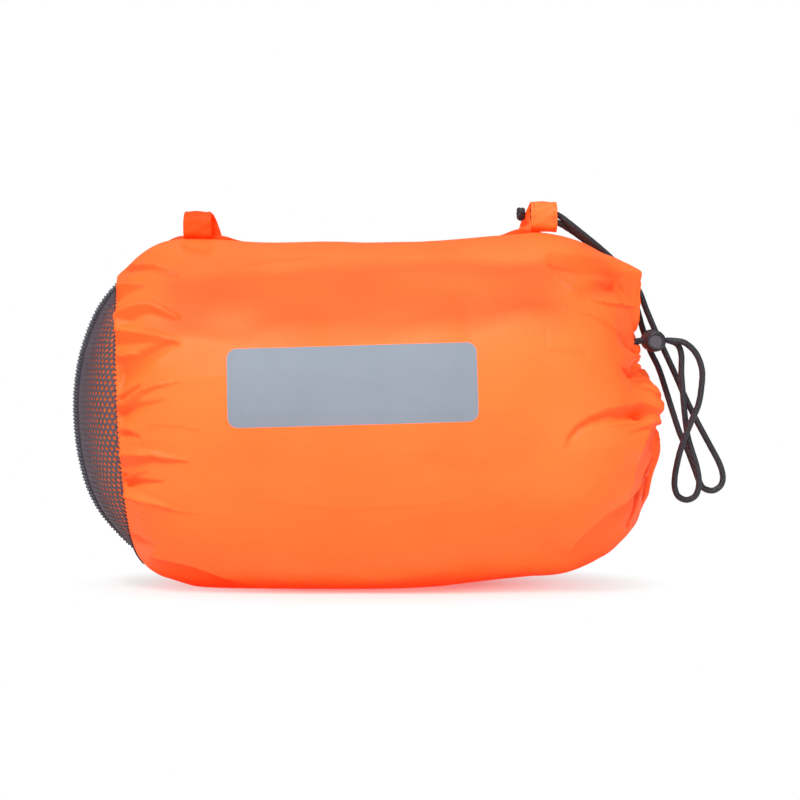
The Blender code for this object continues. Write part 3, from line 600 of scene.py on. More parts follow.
frontFolds = (
    # by the net's seam, from the top down
    ("ridge", 3.4, 1.6, 4.5, 1, 0.3, ((-91.2, 105.3), (-87.2, 106.9), (-84.1, 107.5), (-81.1, 108))),
    ("ridge", 4.4, 5, 4, 1, 0.4, ((-91.7, 94), (-87.2, 96.8), (-82.7, 99.2), (-78.2, 99.9), (-74.6, 98.6),
        (-69.7, 96.6))),
    ("ridge", 3.6, 5, 5.5, 1, 0.3, ((-91.9, 90.7), (-82.7, 90.2), (-75.5, 89.3), (-69, 87.5))),
    ("ridge", 2.5, 2, 3.2, 1, 0.3, ((-91.9, 81.9), (-88.1, 82.3), (-83.8, 83))),
    ("valley", 3.4, 5.5, 8, 1, 0.3, ((-92.1, 74.5), (-87.2, 77.8), (-82.7, 80.7), (-77.3, 83.9),
        (-71, 86.6))),
    ("valley", 3, 2.4, 1.6, 1, 0.3, ((-92.3, 64.4), (-87.2, 68.4), (-83, 71.3))),
    ("ridge", 2.9, 1.2, 4, 1, 0.2, ((-91.9, 62.8), (-87.2, 66.2), (-82.7, 69.8), (-77.3, 71.8),
        (-69.2, 73.1))),
    ("valley", 2.3, 3.6, 4, 1, 0.2, ((-90.8, 59.9), (-82.7, 63.7), (-74.6, 65.9))),
    ("ridge", 0.7, 2, 2.6, 0.5, 0.5, ((-79.1, 57.6), (-69.2, 57.5), (-62, 55.9))),
    ("valley", 2.9, 3.4, 3, 1, 0.4, ((-91.4, 53.1), (-87.2, 53.5), (-83.6, 52.6))),
    ("ridge", 4.2, 1.6, 6, 1, 0.2, ((-90.3, 47.6), (-82.7, 47.3), (-77.3, 47), (-73.7, 45.9), (-65.8, 44.5))),
    ("crease", 2.6, 1.8, 1, 1, 0.3, ((-91.4, 39.6), (-87.2, 39.1), (-84.3, 39.6))),
    ("ridge", 2.1, 1.4, 1.8, 1, 0.2, ((-87.2, 38.7), (-82.7, 40.5), (-79.1, 41))),
    ("valley", 3.1, 4, 2.4, 1, 0.2, ((-91.4, 36), (-82.7, 36), (-74.3, 36.3))),
    ("ridge", 4.4, 4, 2, 1, 0.2, ((-91.4, 34), (-82.7, 30.8), (-77.3, 29.1), (-71.6, 27.4))),
    ("ridge", 1.2, 1.8, 2.2, 0.6, 0.2, ((-74.6, 27.7), (-68.3, 26.1), (-60.9, 24.8))),
    ("valley", 2.3, 2, 1.6, 1, 0.2, ((-86, 16.7), (-81.4, 14.9), (-77, 13.9))),
    ("flap", 2, 4, 5.5, 1, 0.9, ((-80.7, 11), (-73.7, 9.3), (-64.7, 6.7), (-55.7, 3.1), (-51.7, 1.6))),
    ("valley", 2.9, 4, 4.6, 0.6, 0.3, ((-89.9, 112.9), (-79.1, 113.4), (-69.7, 112.3))),
    ("broad", 0.9, 7, 7, 0.9, 0.3, ((-73.7, 116.6), (-50.3, 117.7), (-28.7, 118.4), (-10.7, 118.8))),
    ("broad", -1.2, 16.5, 16.5, 1, 1, ((-89, 100.3), (-57.5, 102.4), (-25.1, 103.1), (10.9, 104.6),
        (32.5, 105.7), (85.6, 108))),
    ("ridge", 1.8, 28, 28, 0.9, 0.9, ((-43.1, 61.9), (10.9, 62.3), (43.3, 63))),
    ("hollow", 1.3, 2.6, 2.6, 1, 1, ((-64.7, 122), (-59.3, 121.3))),
    # across the shoulder and the crest
    ("hollow", 0.6, 4, 4, 0.3, 0.5, ((18, 118), (28, 111), (33, 100), (36, 88))),
    ("ridge", 0.4, 4, 4, 0.5, 0.2, ((40, 116), (44, 104), (50, 92))),
    ("hollow", 0.4, 3, 3, 0.5, 0.2, ((20, 44), (38, 40), (58, 42))),
    ("ridge", 0.4, 5, 5, 0.3, 0.5, ((-40, 30), (-8, 27), (30, 30))),
    # the gathered mouth's end, from the top down
    ("valley", 3, 7.5, 4, 0.55, 0.7, ((65.8, 116.1), (70.3, 115), (77.5, 113.6), (84.7, 112.3), (91, 111.1))),
    ("hollow", 3.4, 3.4, 3.4, 0.3, 1, ((77.9, 105.3), (82.9, 106.6), (87.8, 107.6), (90.1, 108))),
    ("ridge", 2.6, 1.4, 3.4, 0.4, 0.4, ((66.1, 113.2), (71.2, 108), (75.7, 104.4), (81.1, 101.8),
        (86.5, 100.5), (97.3, 100.3))),
    ("valley", 1.8, 1.6, 1.4, 1, 0.5, ((90.1, 108.2), (94.1, 104.8), (97.7, 101.5))),
    ("ridge", 1.4, 4.4, 3.4, 0.3, 0.6, ((69.8, 98.7), (78.4, 97), (83.8, 94.3), (89.4, 90.7))),
    ("hollow", 0.8, 4, 4, 0.3, 0.6, ((79.3, 94), (84.7, 90), (89.2, 82.8), (92.3, 78.3))),
    ("valley", 0.25, 1.4, 1.4, 0.8, 1, ((63.5, 90.9), (63.5, 83.5), (70.3, 83.2), (77.5, 82.6))),
    ("crease", 2, 1.4, 1, 0.2, 1, ((89.7, 79.2), (91.4, 77), (93.7, 75.1))),
    ("ridge", 1.8, 1.6, 3, 0.2, 1, ((93.3, 74), (97.3, 73.6), (102.7, 75.1))),
    ("valley", 1, 1.2, 1.2, 0.3, 1, ((94.6, 71.8), (101.8, 69.8), (105.8, 66.4))),
    ("valley", 4.2, 6.5, 4.6, 0.25, 0.8, ((71.4, 49.3), (72.3, 52), (75.7, 55.6), (80.2, 58), (86.5, 59.8),
        (93.7, 60.5), (99.5, 60.8))),
    ("valley", 3, 6, 3.6, 0.95, 0.3, ((99.5, 60.8), (102.7, 60.8), (106.3, 60.9))),
    ("ridge", 1.2, 1.6, 1.8, 0.3, 0.9, ((84.7, 57.1), (91.9, 57.9), (97.3, 58.5), (103.1, 59))),
    ("valley", 2.2, 2.4, 3.2, 0.2, 1, ((93.7, 54.2), (98.2, 55.3), (103.1, 56.5), (108.1, 57.1))),
    ("flap", 1.6, 5, 6, 0.2, 0.8, ((90.6, 30.6), (92.3, 36), (94.6, 43.2), (98.6, 52), (102, 56.2))),
    ("flap", 2.8, 9, 10, 0.25, 0.9, ((71, 7.7), (73.9, 15.3), (78.4, 20.7), (84.7, 26.1), (91, 30.1),
        (95.5, 35.1), (98.6, 39.6), (101.8, 45.9))),
    ("crease", 3.4, 1.3, 1.3, 0.3, 1, ((91.4, 21.6), (93.5, 26.1), (95.5, 31.9), (97.7, 38.7), (100.4, 45))),
    ("crease", 2.6, 1.3, 1.3, 0.5, 1, ((93.7, 18), (97.3, 27), (100.9, 37.8))),
    ("ridge", 1.4, 1.6, 1.6, 0.3, 0.8, ((86.5, 15.3), (90.1, 20.2), (93.7, 22.5))),
)
wrinkleSet = {
    # each kind of unevenness, with its scale and its height
    "swell": (34.0, 1.7), "soft": (15.0, 0.95), "crisp": (17.0, 0.45), "fine": (3.6, 0.10),
    # busier towards the net, the mouth and the floor: where it starts, over how far, and by how much
    "calmest": 0.35, "leftBusy": (58, 34, 0.9), "rightBusy": (62, 30, 1.1), "lowBusy": (-28, 24, 0.5),
    "gatherPitch": 6.4, "gatherDepth": 0.25, "gatherReach": 8.0, "gatherWander": 26,
    # deepest, downShade and bandShade set the painted shade in the hollows, on sides that face down and in
    # the sunk bands
    "lowest": 0.0, "deepest": 3.4, "edgeLift": 0.3, "downShade": 1.6, "unevenEdge": 0.55, "bandShade": 0.85,
    "backSlack": 1.5, "backGather": 1.1, "backReach": 16,
}


def distanceTo(points, x, z):
    # distance from each place to a bent line, its side of the line, and how far along it is, 0 to 1
    points = np.array(points, float)
    lengths = lengthsAlong(points)
    best, side, along = np.full_like(x, 1e9), np.zeros_like(x), np.zeros_like(x)
    for a, b, start, end in zip(points, points[1:], lengths, lengths[1:]):
        dx, dz = b - a
        t = np.clip(((x - a[0]) * dx + (z - a[1]) * dz) / (end - start) ** 2, 0, 1)
        gap = np.hypot(x - a[0] - t * dx, z - a[1] - t * dz)
        near = gap < best
        best = np.where(near, gap, best)
        side = np.where(near, np.sign(dx * (z - a[1]) - dz * (x - a[0])), side)
        along = np.where(near, (start + t * (end - start)) / lengths[-1], along)
    return best, side, along


def asSeen(spots):
    # where the camera sees each place in the sack's middle plane
    x, y, z = spots.T
    aim = np.array(cameraSet["aim"]) / mm
    tilt = math.radians(cameraSet["elevation"])
    nearer = 1 + y * mm / cameraSet["distance"]
    return aim[0] + (x - aim[0]) / nearer, aim[2] + (z - aim[2] + y * math.tan(tilt)) / nearer


def foldHeight(spots):
    x, z = asSeen(spots)
    height, broad, shadow = np.zeros_like(x), np.zeros_like(x), np.zeros_like(x)
    uneven = 1 + wrinkleSet["unevenEdge"] * noiseAt(spots, 17.0, 8, (0.7, 1, 1.3))
    for kind, depth, leftWidth, rightWidth, start, end, points in frontFolds:
        gap, side, along = distanceTo(points, x, z)
        share = start + (end - start) * along
        width = np.where(side > 0, leftWidth, rightWidth) * share
        if kind == "flap":
            # the cloth on the line's left lies over that on its right, with painted shadow on the cloth to
            # its right
            share = share * ease(along * 8)
            height += depth * share * np.where(side > 0, np.exp(-gap / leftWidth), np.exp(-gap / 0.5))
            shadow += 1.5 * share * np.where(side > 0, 0, bump(gap, rightWidth))
        elif kind == "hollow":
            height -= depth * share * bump(gap, leftWidth)
        elif kind == "broad":
            # smooth and wide with uneven edges, raised or sunk, with painted shade where it is sunk
            edge = 1 - gap / (width * uneven)
            share = share * ease(along * 8) * ease((1 - along) * 7)
            broad += depth * share * ease(1.4 * edge)
            shade = wrinkleSet["bandShade"] * share * ease(2.0 * edge) * (1.9 - uneven)
            shadow += max(-depth, 0) * shade
        else:
            # two flat facets that meet at the line in a crisp edge, and run out flush at their far edges
            rise = np.maximum(1 - np.sqrt(gap**2 + 0.02) / np.maximum(width, 0.05), 0)
            rise = rise - 0.12 * (1 - np.exp(-rise / 0.12))
            height += depth * share * rise * (1 if kind == "ridge" else -1)
            # painted shadow along the crease line
            if kind == "crease":
                shadow += np.minimum(depth * share / 1.4, 2) * bump(gap, 0.6) * (rise > 0)
    # painted shade in the hollows, more where they are deeper
    shadow += np.clip(-height / wrinkleSet["deepest"], 0, 1)
    return height + broad, shadow


def facingDown(spots):
    # how far the folds' sides face down, 0 to 1, which sets painted shade on them
    step = np.array([0, 0, 0.4])
    slope = (foldHeight(spots + step)[0] - foldHeight(spots - step)[0]) / 0.8
    return np.clip(slope * wrinkleSet["downShade"], 0, 1)


def noiseAt(spots, scale, seed, stretch=(1, 1, 1)):
    shift = Vector((seed * 17.3, seed * 5.1, seed * 9.7))
    scaled = spots * np.array(stretch) / scale
    return np.array([noise.noise(Vector(p) + shift) for p in scaled])


def sackHeight(spots, front):
    # how far the cloth stands out from the plain form, and how much painted shade it takes, at each place
    x, y, z = spots.T
    look = wrinkleSet
    busy = look["calmest"]
    for place, key in ((-x, "leftBusy"), (x, "rightBusy"), (-z, "lowBusy")):
        start, over, share = look[key]
        busy = busy + share * ease((place - start) / over)
    height = look["swell"][1] * noiseAt(spots, look["swell"][0], 1)
    height += look["soft"][1] * busy * noiseAt(spots, look["soft"][0], 2, (0.7, 1, 1.3))
    ridged = 0.5 - np.abs(noiseAt(spots, look["crisp"][0], 3, (0.75, 1, 1.25))) * 2
    height += look["crisp"][1] * busy * ridged
    height += look["fine"][1] * busy * noiseAt(spots, look["fine"][0], 4)
    # small gathers that run in from the net's seam
    angle = np.degrees(np.arctan2(-y, z - sack["middle"]))
    wander = look["gatherWander"] * noiseAt(rows(angle / 9, 0, 0), 3.0, 5)
    gather = np.cos((angle * 0.95 + wander) * 2 * math.pi / look["gatherPitch"])
    inward = np.maximum(x - sleeveEdge(np.mod(angle, 360)), 0)
    height += look["gatherDepth"] * gather * np.exp(-inward / look["gatherReach"]) * ease(inward / 4)
    height *= 0.12 + 0.88 * ease(inward / 7)
    shadow = np.zeros_like(x)
    if front:
        folds, shadow = foldHeight(spots)
        reach = ease((-y - 2) / 14)
        height += folds * reach * ease((inward - 0.2) / 2.0)
        # painted shade: the folds' own and that of sides facing down, less by the net's seam
        shadow = np.maximum(shadow, facingDown(spots)) * reach * (0.3 + 0.7 * ease(inward / 1.5))
    else:
        # the hidden side is looser: a few long slack folds
        slack = 1 - np.abs(noiseAt(spots, 30.0, 6, (0.45, 1, 1.5))) * 3.2
        height += look["backSlack"] * np.clip(slack, 0, 1) ** 2 * ease((y - 4) / 16)
        strength = np.clip(0.5 + 1.4 * noiseAt(spots, 14.0, 7), 0, 1) * ease((y - 2) / 10)
        strength = strength * np.exp(-inward / look["backReach"]) * ease(inward / 4)
        height += look["backGather"] * gather * strength
    return height + look["edgeLift"] * bump(inward, 2.0), shadow


def clothPoint(row, turn, front):
    # the cloth itself: the plain form, moved out or in along its own normal, and the painted shade at each
    # place
    small = 0.002
    spots = sackPoint(row, turn)
    along = sackPoint(np.minimum(row + small, 1), turn) - sackPoint(np.maximum(row - small, 0), turn)
    around = sackPoint(row, turn + 0.3) - sackPoint(row, turn - 0.3)
    # flat where the sack lies on the floor, and calm at the throat
    pressed = ease(spots[:, 2] / 7)
    calm = ease((np.hypot(spots[:, 1], spots[:, 2] - sack["throat"][2]) - 11) / 8)
    calm = np.where(spots[:, 0] > 80, calm, 1.0)
    height, shadow = sackHeight(spots, front)
    placed = spots + unit(np.cross(around, along)) * (height * pressed * calm)[:, None]
    placed[:, 2] = np.maximum(placed[:, 2], wrinkleSet["lowest"])
    return placed, np.clip(shadow, 0, 2)


def turnIn(bm, thickness):
    # the open edges turn in, so that the cloth shows its thickness there
    bm.normal_update()
    edges = [edge for edge in bm.edges if edge.is_boundary]
    ways = {vert: vert.normal.copy() for edge in edges for vert in edge.verts}
    places = {tuple(vert.co): way for vert, way in ways.items()}
    made = bmesh.ops.extrude_edge_only(bm, edges=edges)["geom"]
    for vert in made:
        if isinstance(vert, bmesh.types.BMVert):
            vert.co = vert.co - places[tuple(vert.co)] * thickness


def makePanel(name, node, start, end, down, across, finish, front):
    hollow = []

    def form(row, column):
        places, depth = clothPoint(row, start + (end - start) * column, front)
        hollow.extend(depth)
        return places

    bm = bentGrid(down, across, form)
    # painted shade from the folds, kept on each vertex for the nylon's colour
    layer = bm.verts.layers.float.new("hollow")
    for vert, depth in zip(bm.verts, hollow):
        vert[layer] = depth
    middle = Vector((0, 0, sack["middle"])) * mm
    if sum(face.normal.dot(face.calc_center_median() - middle) for face in bm.faces) < 0:
        bmesh.ops.reverse_faces(bm, faces=bm.faces)
    turnIn(bm, 0.6 * mm)
    obj = piece(name, bm, finish, "bag")
    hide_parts(node)


makePanel("frontPanelCloth", "front_panel", 0, sack["seamTurn"], 340, 270, nylonFront, True)
print("front panel ready")
makePanel("backPanelCloth", "back_panel", sack["seamTurn"], 360, 250, 190, nylonPlain, False)
print("back panel ready")


# The net end's form, a lattice of staggered round holes

netSet = {
    "edge": ((9.4, -79.8), (12, -84.6), (19, -92), (27, -98.4), (37, -103), (51, -106), (66, -106.8),
             (79, -105.4), (88, -103), (97, -99.4), (103, -95.8), (109.4, -90.3)),
    "turns": (6.0, 176.0), "tip": 2.9, "halfGap": 0.6,
    # guide: the place across the net, of its 60, along which the lattice keeps its pitch
    "pitch": 2.2, "web": 0.44, "thick": 0.4, "under": 1.1, "guide": 20, "low": 10.2, "high": 108.6,
    "stitchPitch": 1.25, "stitchInset": 0.7, "stitchSize": (0.9, 0.5, 0.8),
    "finInset": 0.35, "finWidth": 3.6, "finFoot": 6.0, "finHalf": 0.4,
    "tapeInset": 2.5, "tapeHalf": (0.42, 0.75),
}


def netTable(side, turns=120, swings=60):
    # places on one half of the net, from the sleeve's edge to the seam
    turn = np.linspace(*netSet["turns"], turns)
    edge = bodyPoint(sleeveEdge(turn) + netSet["under"], turn)
    edge[:, 1] = -np.abs(edge[:, 1]) + 2.0
    swing = np.radians(np.linspace(90, 0, swings))
    edgeX, edgeY, edgeZ = edge.T[:, :, None]
    half = np.maximum(-edgeY, netSet["halfGap"] + 0.5) - netSet["halfGap"]
    tip = curveValue(netSet["edge"], edgeZ) + netSet["tip"]
    deep = side * (netSet["halfGap"] + half * np.cos(swing))
    return rows(edgeX + (tip - edgeX) * np.sin(swing), deep, edgeZ)


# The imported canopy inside, which shows through the net

bundleSet = {"centre": (-7.0, 0.0, 61.5), "left": 95.0, "right": 88.0, "deep": 52.0, "high": 55.5,
             "endPower": 0.62, "sidePower": 0.55, "round": 0.9, "crumple": (9.0, 2.0), "clear": 1.6,
             "lowest": 3.0, "netEnd": -70}


def makeBundle():
    bm = bmesh.new()
    bmesh.ops.create_icosphere(bm, subdivisions=6, radius=1.0)
    ball = np.array([vert.co for vert in bm.verts])
    # square at the ends, nearly round across
    across = np.hypot(ball[:, 1], ball[:, 2])
    way = ball[:, 1:] / np.maximum(across, 1e-6)[:, None]
    way = np.sign(way) * np.abs(way) ** bundleSet["round"]
    end = np.sign(ball[:, 0]) * np.abs(ball[:, 0]) ** bundleSet["endPower"]
    spots = rows(end, *(way.T * across ** bundleSet["sidePower"]))
    spots[:, 0] *= np.where(ball[:, 0] < 0, bundleSet["left"], bundleSet["right"])
    spots *= np.array([1, bundleSet["deep"], bundleSet["high"]])
    spots += np.array(bundleSet["centre"])
    scale, depth = bundleSet["crumple"]
    ridged = np.abs(noiseAt(spots, scale, 11)) * 2 + np.abs(noiseAt(spots, scale / 2.2, 12)) * 0.7
    spots = spots - ball * (depth * ridged)[:, None]
    spots[:, 2] = np.maximum(spots[:, 2], bundleSet["lowest"])
    # held back inside the net
    table = netTable(-1).reshape(-1, 3)
    tree = KDTree(len(table))
    for i, (_, y, z) in enumerate(table):
        tree.insert((0, y, z), i)
    tree.balance()
    for k in np.flatnonzero(spots[:, 0] < bundleSet["netEnd"]):
        _, i, _ = tree.find((0, -abs(spots[k, 1]), spots[k, 2]))
        spots[k, 0] = max(spots[k, 0], table[i][0] + bundleSet["clear"])
    for vert, spot in zip(bm.verts, spots * mm):
        vert.co = spot
    obj = piece("canopyBundle", bm, canopyCloth, "bag")
    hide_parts("canopy_fold_front", "canopy_fold_back", "seat_panel_fold", "vent_sleeve_fold",
                "window_fold")


makeBundle()
print("packed canopy ready")


# The net end's own lattice, and the overlocked seam that joins its halves

def makeNet(name, node, side):
    table = netTable(side)
    across = np.array([lengthsAlong(row) for row in table])
    down = lengthsAlong(table[:, netSet["guide"]])
    pitch = netSet["pitch"]
    tall = pitch * math.sqrt(3) / 2
    columns = int(across[:, -1].max() / (pitch / 2)) + 2
    lines = int(down[-1] / tall)
    bm = bmesh.new()
    bmesh.ops.create_grid(bm, x_segments=columns, y_segments=lines, size=0.5)
    for vert in bm.verts:
        i, j = round((vert.co.x + 0.5) * columns), round((vert.co.y + 0.5) * lines)
        lift = tall / 6 * (1 if (i + j) % 2 == 0 else -1)
        vert.co = (i * pitch / 2, j * tall + lift, 0)
    # every second upright goes, shifted line by line, which leaves six-sided cells
    gone = []
    for edge in bm.edges:
        a, b = edge.verts
        if abs(a.co.x - b.co.x) < 0.01:
            i, j = round(a.co.x / (pitch / 2)), round(min(a.co.y, b.co.y) / tall)
            if (i + j) % 2 == 1 and 0 < i < columns:
                gone.append(edge)
    bmesh.ops.dissolve_edges(bm, edges=gone, use_verts=False)
    cells = bm.faces[:]
    bmesh.ops.inset_individual(bm, faces=cells, thickness=netSet["web"], use_even_offset=True)
    bmesh.ops.delete(bm, geom=cells, context="FACES_KEEP_BOUNDARY")
    # the flat lattice is laid on the table's places, and what runs past them goes
    stray = []
    for vert in bm.verts:
        k = np.clip(np.searchsorted(down, vert.co.y), 1, len(down) - 1)
        share = np.clip((vert.co.y - down[k - 1]) / (down[k] - down[k - 1]), 0, 1)
        widest = across[k - 1][-1] * (1 - share) + across[k][-1] * share
        if vert.co.x > widest or vert.co.y > down[-1]:
            stray.append(vert)
        spot = np.zeros(3)
        for row, part in ((k - 1, 1 - share), (k, share)):
            spot += part * np.array([np.interp(vert.co.x, across[row], axis) for axis in table[row].T])
        vert.co = spot * mm
    bmesh.ops.delete(bm, geom=stray, context="VERTS")
    bmesh.ops.recalc_face_normals(bm, faces=bm.faces)
    bm.normal_update()
    if sum(face.normal.y * side for face in bm.faces) < 0:
        bmesh.ops.reverse_faces(bm, faces=bm.faces)
    bmesh.ops.solidify(bm, geom=bm.faces[:], thickness=netSet["thick"] * mm)
    obj = piece(name, bm, netYarn, "bag")
    finer = obj.modifiers.new("rounder", "SUBSURF")
    finer.levels = finer.render_levels = 1
    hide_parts(node)


def seamLine():
    # the seam's outer edge seen from the front, with its own and its inward direction
    z = np.linspace(netSet["low"], netSet["high"], 300)
    line = rows(curveValue(netSet["edge"], z), 0, z)
    slope = unit(np.gradient(line, axis=0))
    return line, slope, rows(slope[:, 2], 0, -slope[:, 0])


def evenAlong(line, pitch):
    # the line's points nearest to even places along it
    lengths = lengthsAlong(line)
    even = np.interp(np.arange(pitch / 2, lengths[-1], pitch), lengths, np.arange(len(line)))
    return [int(round(at)) for at in even]


def stitches(name, places, finish):
    # each place: middle, direction of the thread, direction across it, and its three half sizes
    bm = bmesh.new()
    for middle, along, across, sizes in places:
        along, across = Vector(along).normalized(), Vector(across).normalized()
        up = along.cross(across).normalized()
        turn = Matrix((along, up.cross(along), up)).transposed().to_4x4()
        size = Matrix.Diagonal((*[s * mm for s in sizes], 1))
        bmesh.ops.create_icosphere(bm, subdivisions=2, radius=1.0,
                                   matrix=Matrix.Translation(Vector(middle) * mm) @ turn @ size)
    piece(name, bm, finish, "bag")


def finWidth(z):
    # the fin widens at its foot, where it runs in under the orange cloth, and its dark there is partly
    # painted shade behind the net
    return netSet["finWidth"] + netSet["finFoot"] * ease((15 - z) / 5)


def makeNetSeam():
    line, slope, inward = seamLine()
    last = len(line) - 1
    places = []
    for k in evenAlong(line, netSet["stitchPitch"]):
        lean = inward[k] + slope[k] * 0.22
        places.append((line[k] + inward[k] * netSet["stitchInset"], lean, slope[k], netSet["stitchSize"]))
    stitches("netSeamLoops", places, overlockYarn)

    def fin(row, column):
        i, k = nearest(row, last), np.rint(column * 4).astype(int) % 4
        edge = line[i] + inward[i] * netSet["finInset"]
        width = np.where((k == 1) | (k == 2), finWidth(edge[:, 2]), 0)
        return edge + inward[i] * width[:, None] + rows(0, np.where(k < 2, -1, 1) * netSet["finHalf"], 0)

    def tape(row, column):
        i, turn = nearest(row, last), 2 * math.pi * column
        across, deep = netSet["tapeHalf"]
        inset = netSet["tapeInset"] + np.cos(turn) * across
        return line[i] + inward[i] * inset[:, None] + rows(0, np.sin(turn) * deep, 0)

    bm = bentGrid(150, 4, fin, wrapColumns=True)
    finPiece = piece("netSeamFin", bm, darkThread, "bag", smooth=False)
    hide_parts("mesh_end_seam")
    piece("netSeamTape", bentGrid(200, 14, tape, wrapColumns=True), seamTape, "bag")


makeNet("netEndFront", "mesh_end_front", -1)
makeNet("netEndBack", "mesh_end_back", 1)
print("net ready")
makeNetSeam()
print("net seam ready")


# The gathered channel round the throat

hemSet = {"ring": 8.2, "tube": 3.1, "gathers": 19, "swell": 0.2}


def makeHem():
    throatX, throatY, throatZ = sack["throat"]

    def point(row, column):
        around, about = 2 * math.pi * row, 2 * math.pi * column
        wave = np.cos(hemSet["gathers"] * around + 0.9 * np.sin(3 * around))
        swell = hemSet["tube"] * (1 + hemSet["swell"] * np.sign(wave) * np.abs(wave) ** 0.7)
        swell = swell * (1 + 0.08 * np.cos(3 * about + 5 * around))
        radius = hemSet["ring"] + swell * np.cos(about)
        return rows(throatX + swell * np.sin(about) * 1.05, throatY - radius * np.sin(around),
                    throatZ + radius * np.cos(around))

    bm = bentGrid(380, 40, point, wrapRows=True, wrapColumns=True)
    obj = piece("mouthHemCloth", bm, nylonPlain, "bag")
    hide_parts("mouth_hem")


makeHem()
print("mouth hem ready")


# Belt loops: folded tape with a row of stitches by each edge

loopSet = {
    # left side, width, height, and how far the rear leg's foot stands to the side
    "left": (-66.5, 10.0, 10.4, 3.4), "right": (57.7, 9.4, 11.0, -4.2), "strap": 1.0,
    # half the gap between a loop's legs at heights above the crest, and at its top
    "legs": ((1.4, 0.8), (4.1, 2.2), (4.8, 4.4), (4.8, 7.2)), "topHalf": 3.2,
    "stitchInset": 1.1, "stitchPitch": 1.9, "stitchSize": (0.62, 0.16, 0.14),
    "seamRise": 0.45, "seamPeak": 1.5, "seamReach": 5.5, "seamEnds": (-75.0, 72.0),
    "seamPeaks": (-67.5, -53.5, 53.5, 67.5),
}


def loopPath(left, width, height):
    # up the front, over the top and down the back
    places = np.array([left, left + width / 2, left + width])
    base = max(curveValue(sack["crest"], np.minimum(places, sack["shoulder"])))
    legs = [*loopSet["legs"], (loopSet["topHalf"], height - 1.3)]
    path = [(0, -y, base + z) for y, z in legs] + [(0, 0, base + height - 0.5)]
    path += [(0, y, base + z) for y, z in legs[::-1]]
    return smoothRoute(path, 0.3)[0]


def makeLoop(name, node, key, finish):
    left, width, height, lean = loopSet[key]
    path = loopPath(left, width, height)
    last = len(path) - 1
    slope = unit(np.gradient(path, axis=0))
    outward = rows(0, -slope[:, 2], slope[:, 1])
    if outward[len(path) // 2, 2] < 0:
        outward = -outward
    # flat tape with rounded edges, once round its section
    half = loopSet["strap"] / 2
    flat = width / 2 - half
    top = [(u, half) for u in np.linspace(-flat, flat, 24)]
    edge = np.radians(np.linspace(90, -90, 7))
    right = [(flat + half * math.cos(a), half * math.sin(a)) for a in edge[1:]]
    ring = np.array([*top, *right, *[(-u, -v) for u, v in top[1:] + right[:-1]]])

    def point(row, column):
        i, k = nearest(row, last), np.rint(column * len(ring)).astype(int) % len(ring)
        u, v = ring[k].T
        wave = 0.22 * np.sin(row * 17 + u * 0.35) + 0.12 * np.sin(row * 41 - u * 0.8)
        spot = path[i] + outward[i] * (v + wave)[:, None]
        spot[:, 0] = left + width / 2 + u * (1 + 0.015 * np.sin(row * 9)) + lean * ease((row - 0.5) / 0.5)
        return spot

    obj = piece(name, bentGrid(last, len(ring), point, wrapColumns=True), finish, "bag")
    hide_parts(node)
    places = []
    for inset in (loopSet["stitchInset"], width - loopSet["stitchInset"]):
        for k in evenAlong(path, loopSet["stitchPitch"]):
            spot = path[k] + outward[k] * (half + 0.06)
            spot[0] = left + inset + lean * ease((k / last - 0.5) / 0.5)
            places.append((spot, slope[k], (1, 0, 0), loopSet["stitchSize"]))
    stitches(name + "Stitches", places, orangeThread)


def makeCrestSeam():
    # the panels' joined edges stand up a little along the crest, most beside the loops
    first, last = loopSet["seamEnds"]

    def point(row, column):
        x = first + (last - first) * row
        crest = curveValue(sack["crest"], np.minimum(x, sack["shoulder"]))
        crest = crest - 0.35 * np.maximum(x - 60, 0) ** 1.2
        peaks = sum(bump(x - at, loopSet["seamReach"]) for at in loopSet["seamPeaks"])
        about = 2 * math.pi * column
        lean = 0.5 * np.sin(x * 0.16) + 0.3 * np.sin(x * 0.43)
        tall = (loopSet["seamRise"] + loopSet["seamPeak"] * peaks) * (0.5 + 0.5 * np.cos(about))
        return rows(x, 0.45 * np.sin(about) + lean * tall / 2, crest - 0.6 + tall * 1.3)

    # in the nylon's painted shade colours
    piece("crestSeam", bentGrid(220, 12, point, wrapColumns=True), nylonPaintedShade, "bag")


makeCrestSeam()
# the left loop takes the nylon's painted shade colours, the right one the plain nylon
makeLoop("beltLoopLeftTape", "belt_loop_left", "left", nylonPaintedShade)
makeLoop("beltLoopRightTape", "belt_loop_right", "right", nylonPlain)
print("belt loops ready")


# Stitches down the orange sleeve's edge, where the net is sewn in

hemStitch = {"pitch": 1.8, "size": (0.7, 0.24, 0.3), "lift": 0.15, "step": 0.006, "turns": (8, 352),
             "samples": 700, "lowest": 8.0, "highest": 107.0}


def makeSleeveStitches():
    places = []
    first, last = hemStitch["turns"]
    for front, start, end in ((True, first, sack["seamTurn"]), (False, sack["seamTurn"], last)):
        turn = np.linspace(start, end, hemStitch["samples"])
        line, _ = clothPoint(0 * turn, turn, front)
        inner, _ = clothPoint(0 * turn + hemStitch["step"], turn, front)
        tangents = np.gradient(line, axis=0)
        for k in evenAlong(line, hemStitch["pitch"]):
            if hemStitch["lowest"] < line[k, 2] < hemStitch["highest"]:
                onward = inner[k] - line[k]
                lift = unit(np.cross(tangents[k], onward)) * hemStitch["lift"]
                places.append((line[k] + lift, onward, tangents[k], hemStitch["size"]))
    stitches("sleeveStitches", places, darkThread)


makeSleeveStitches()
print("sleeve stitches ready")


# The cord lock: barrel, sprung button, and the slots that the cord runs through

lockSet = {
    "x": 101.8, "z": 87.7, "face": -12.5, "radius": 3.9, "bore": 2.9, "head": 2.4, "gap": 2.6,
    "button": 3.7, "disc": 2.25, "stem": 2.6, "length": 15.0, "floor": 1.2, "stemEnd": 13.5,
    "slotHigh": 2.9, "slotLong": 5.2, "slotRound": 1.2, "strandMiddle": -3.0, "press": 2.0, "sharp": 40,
}


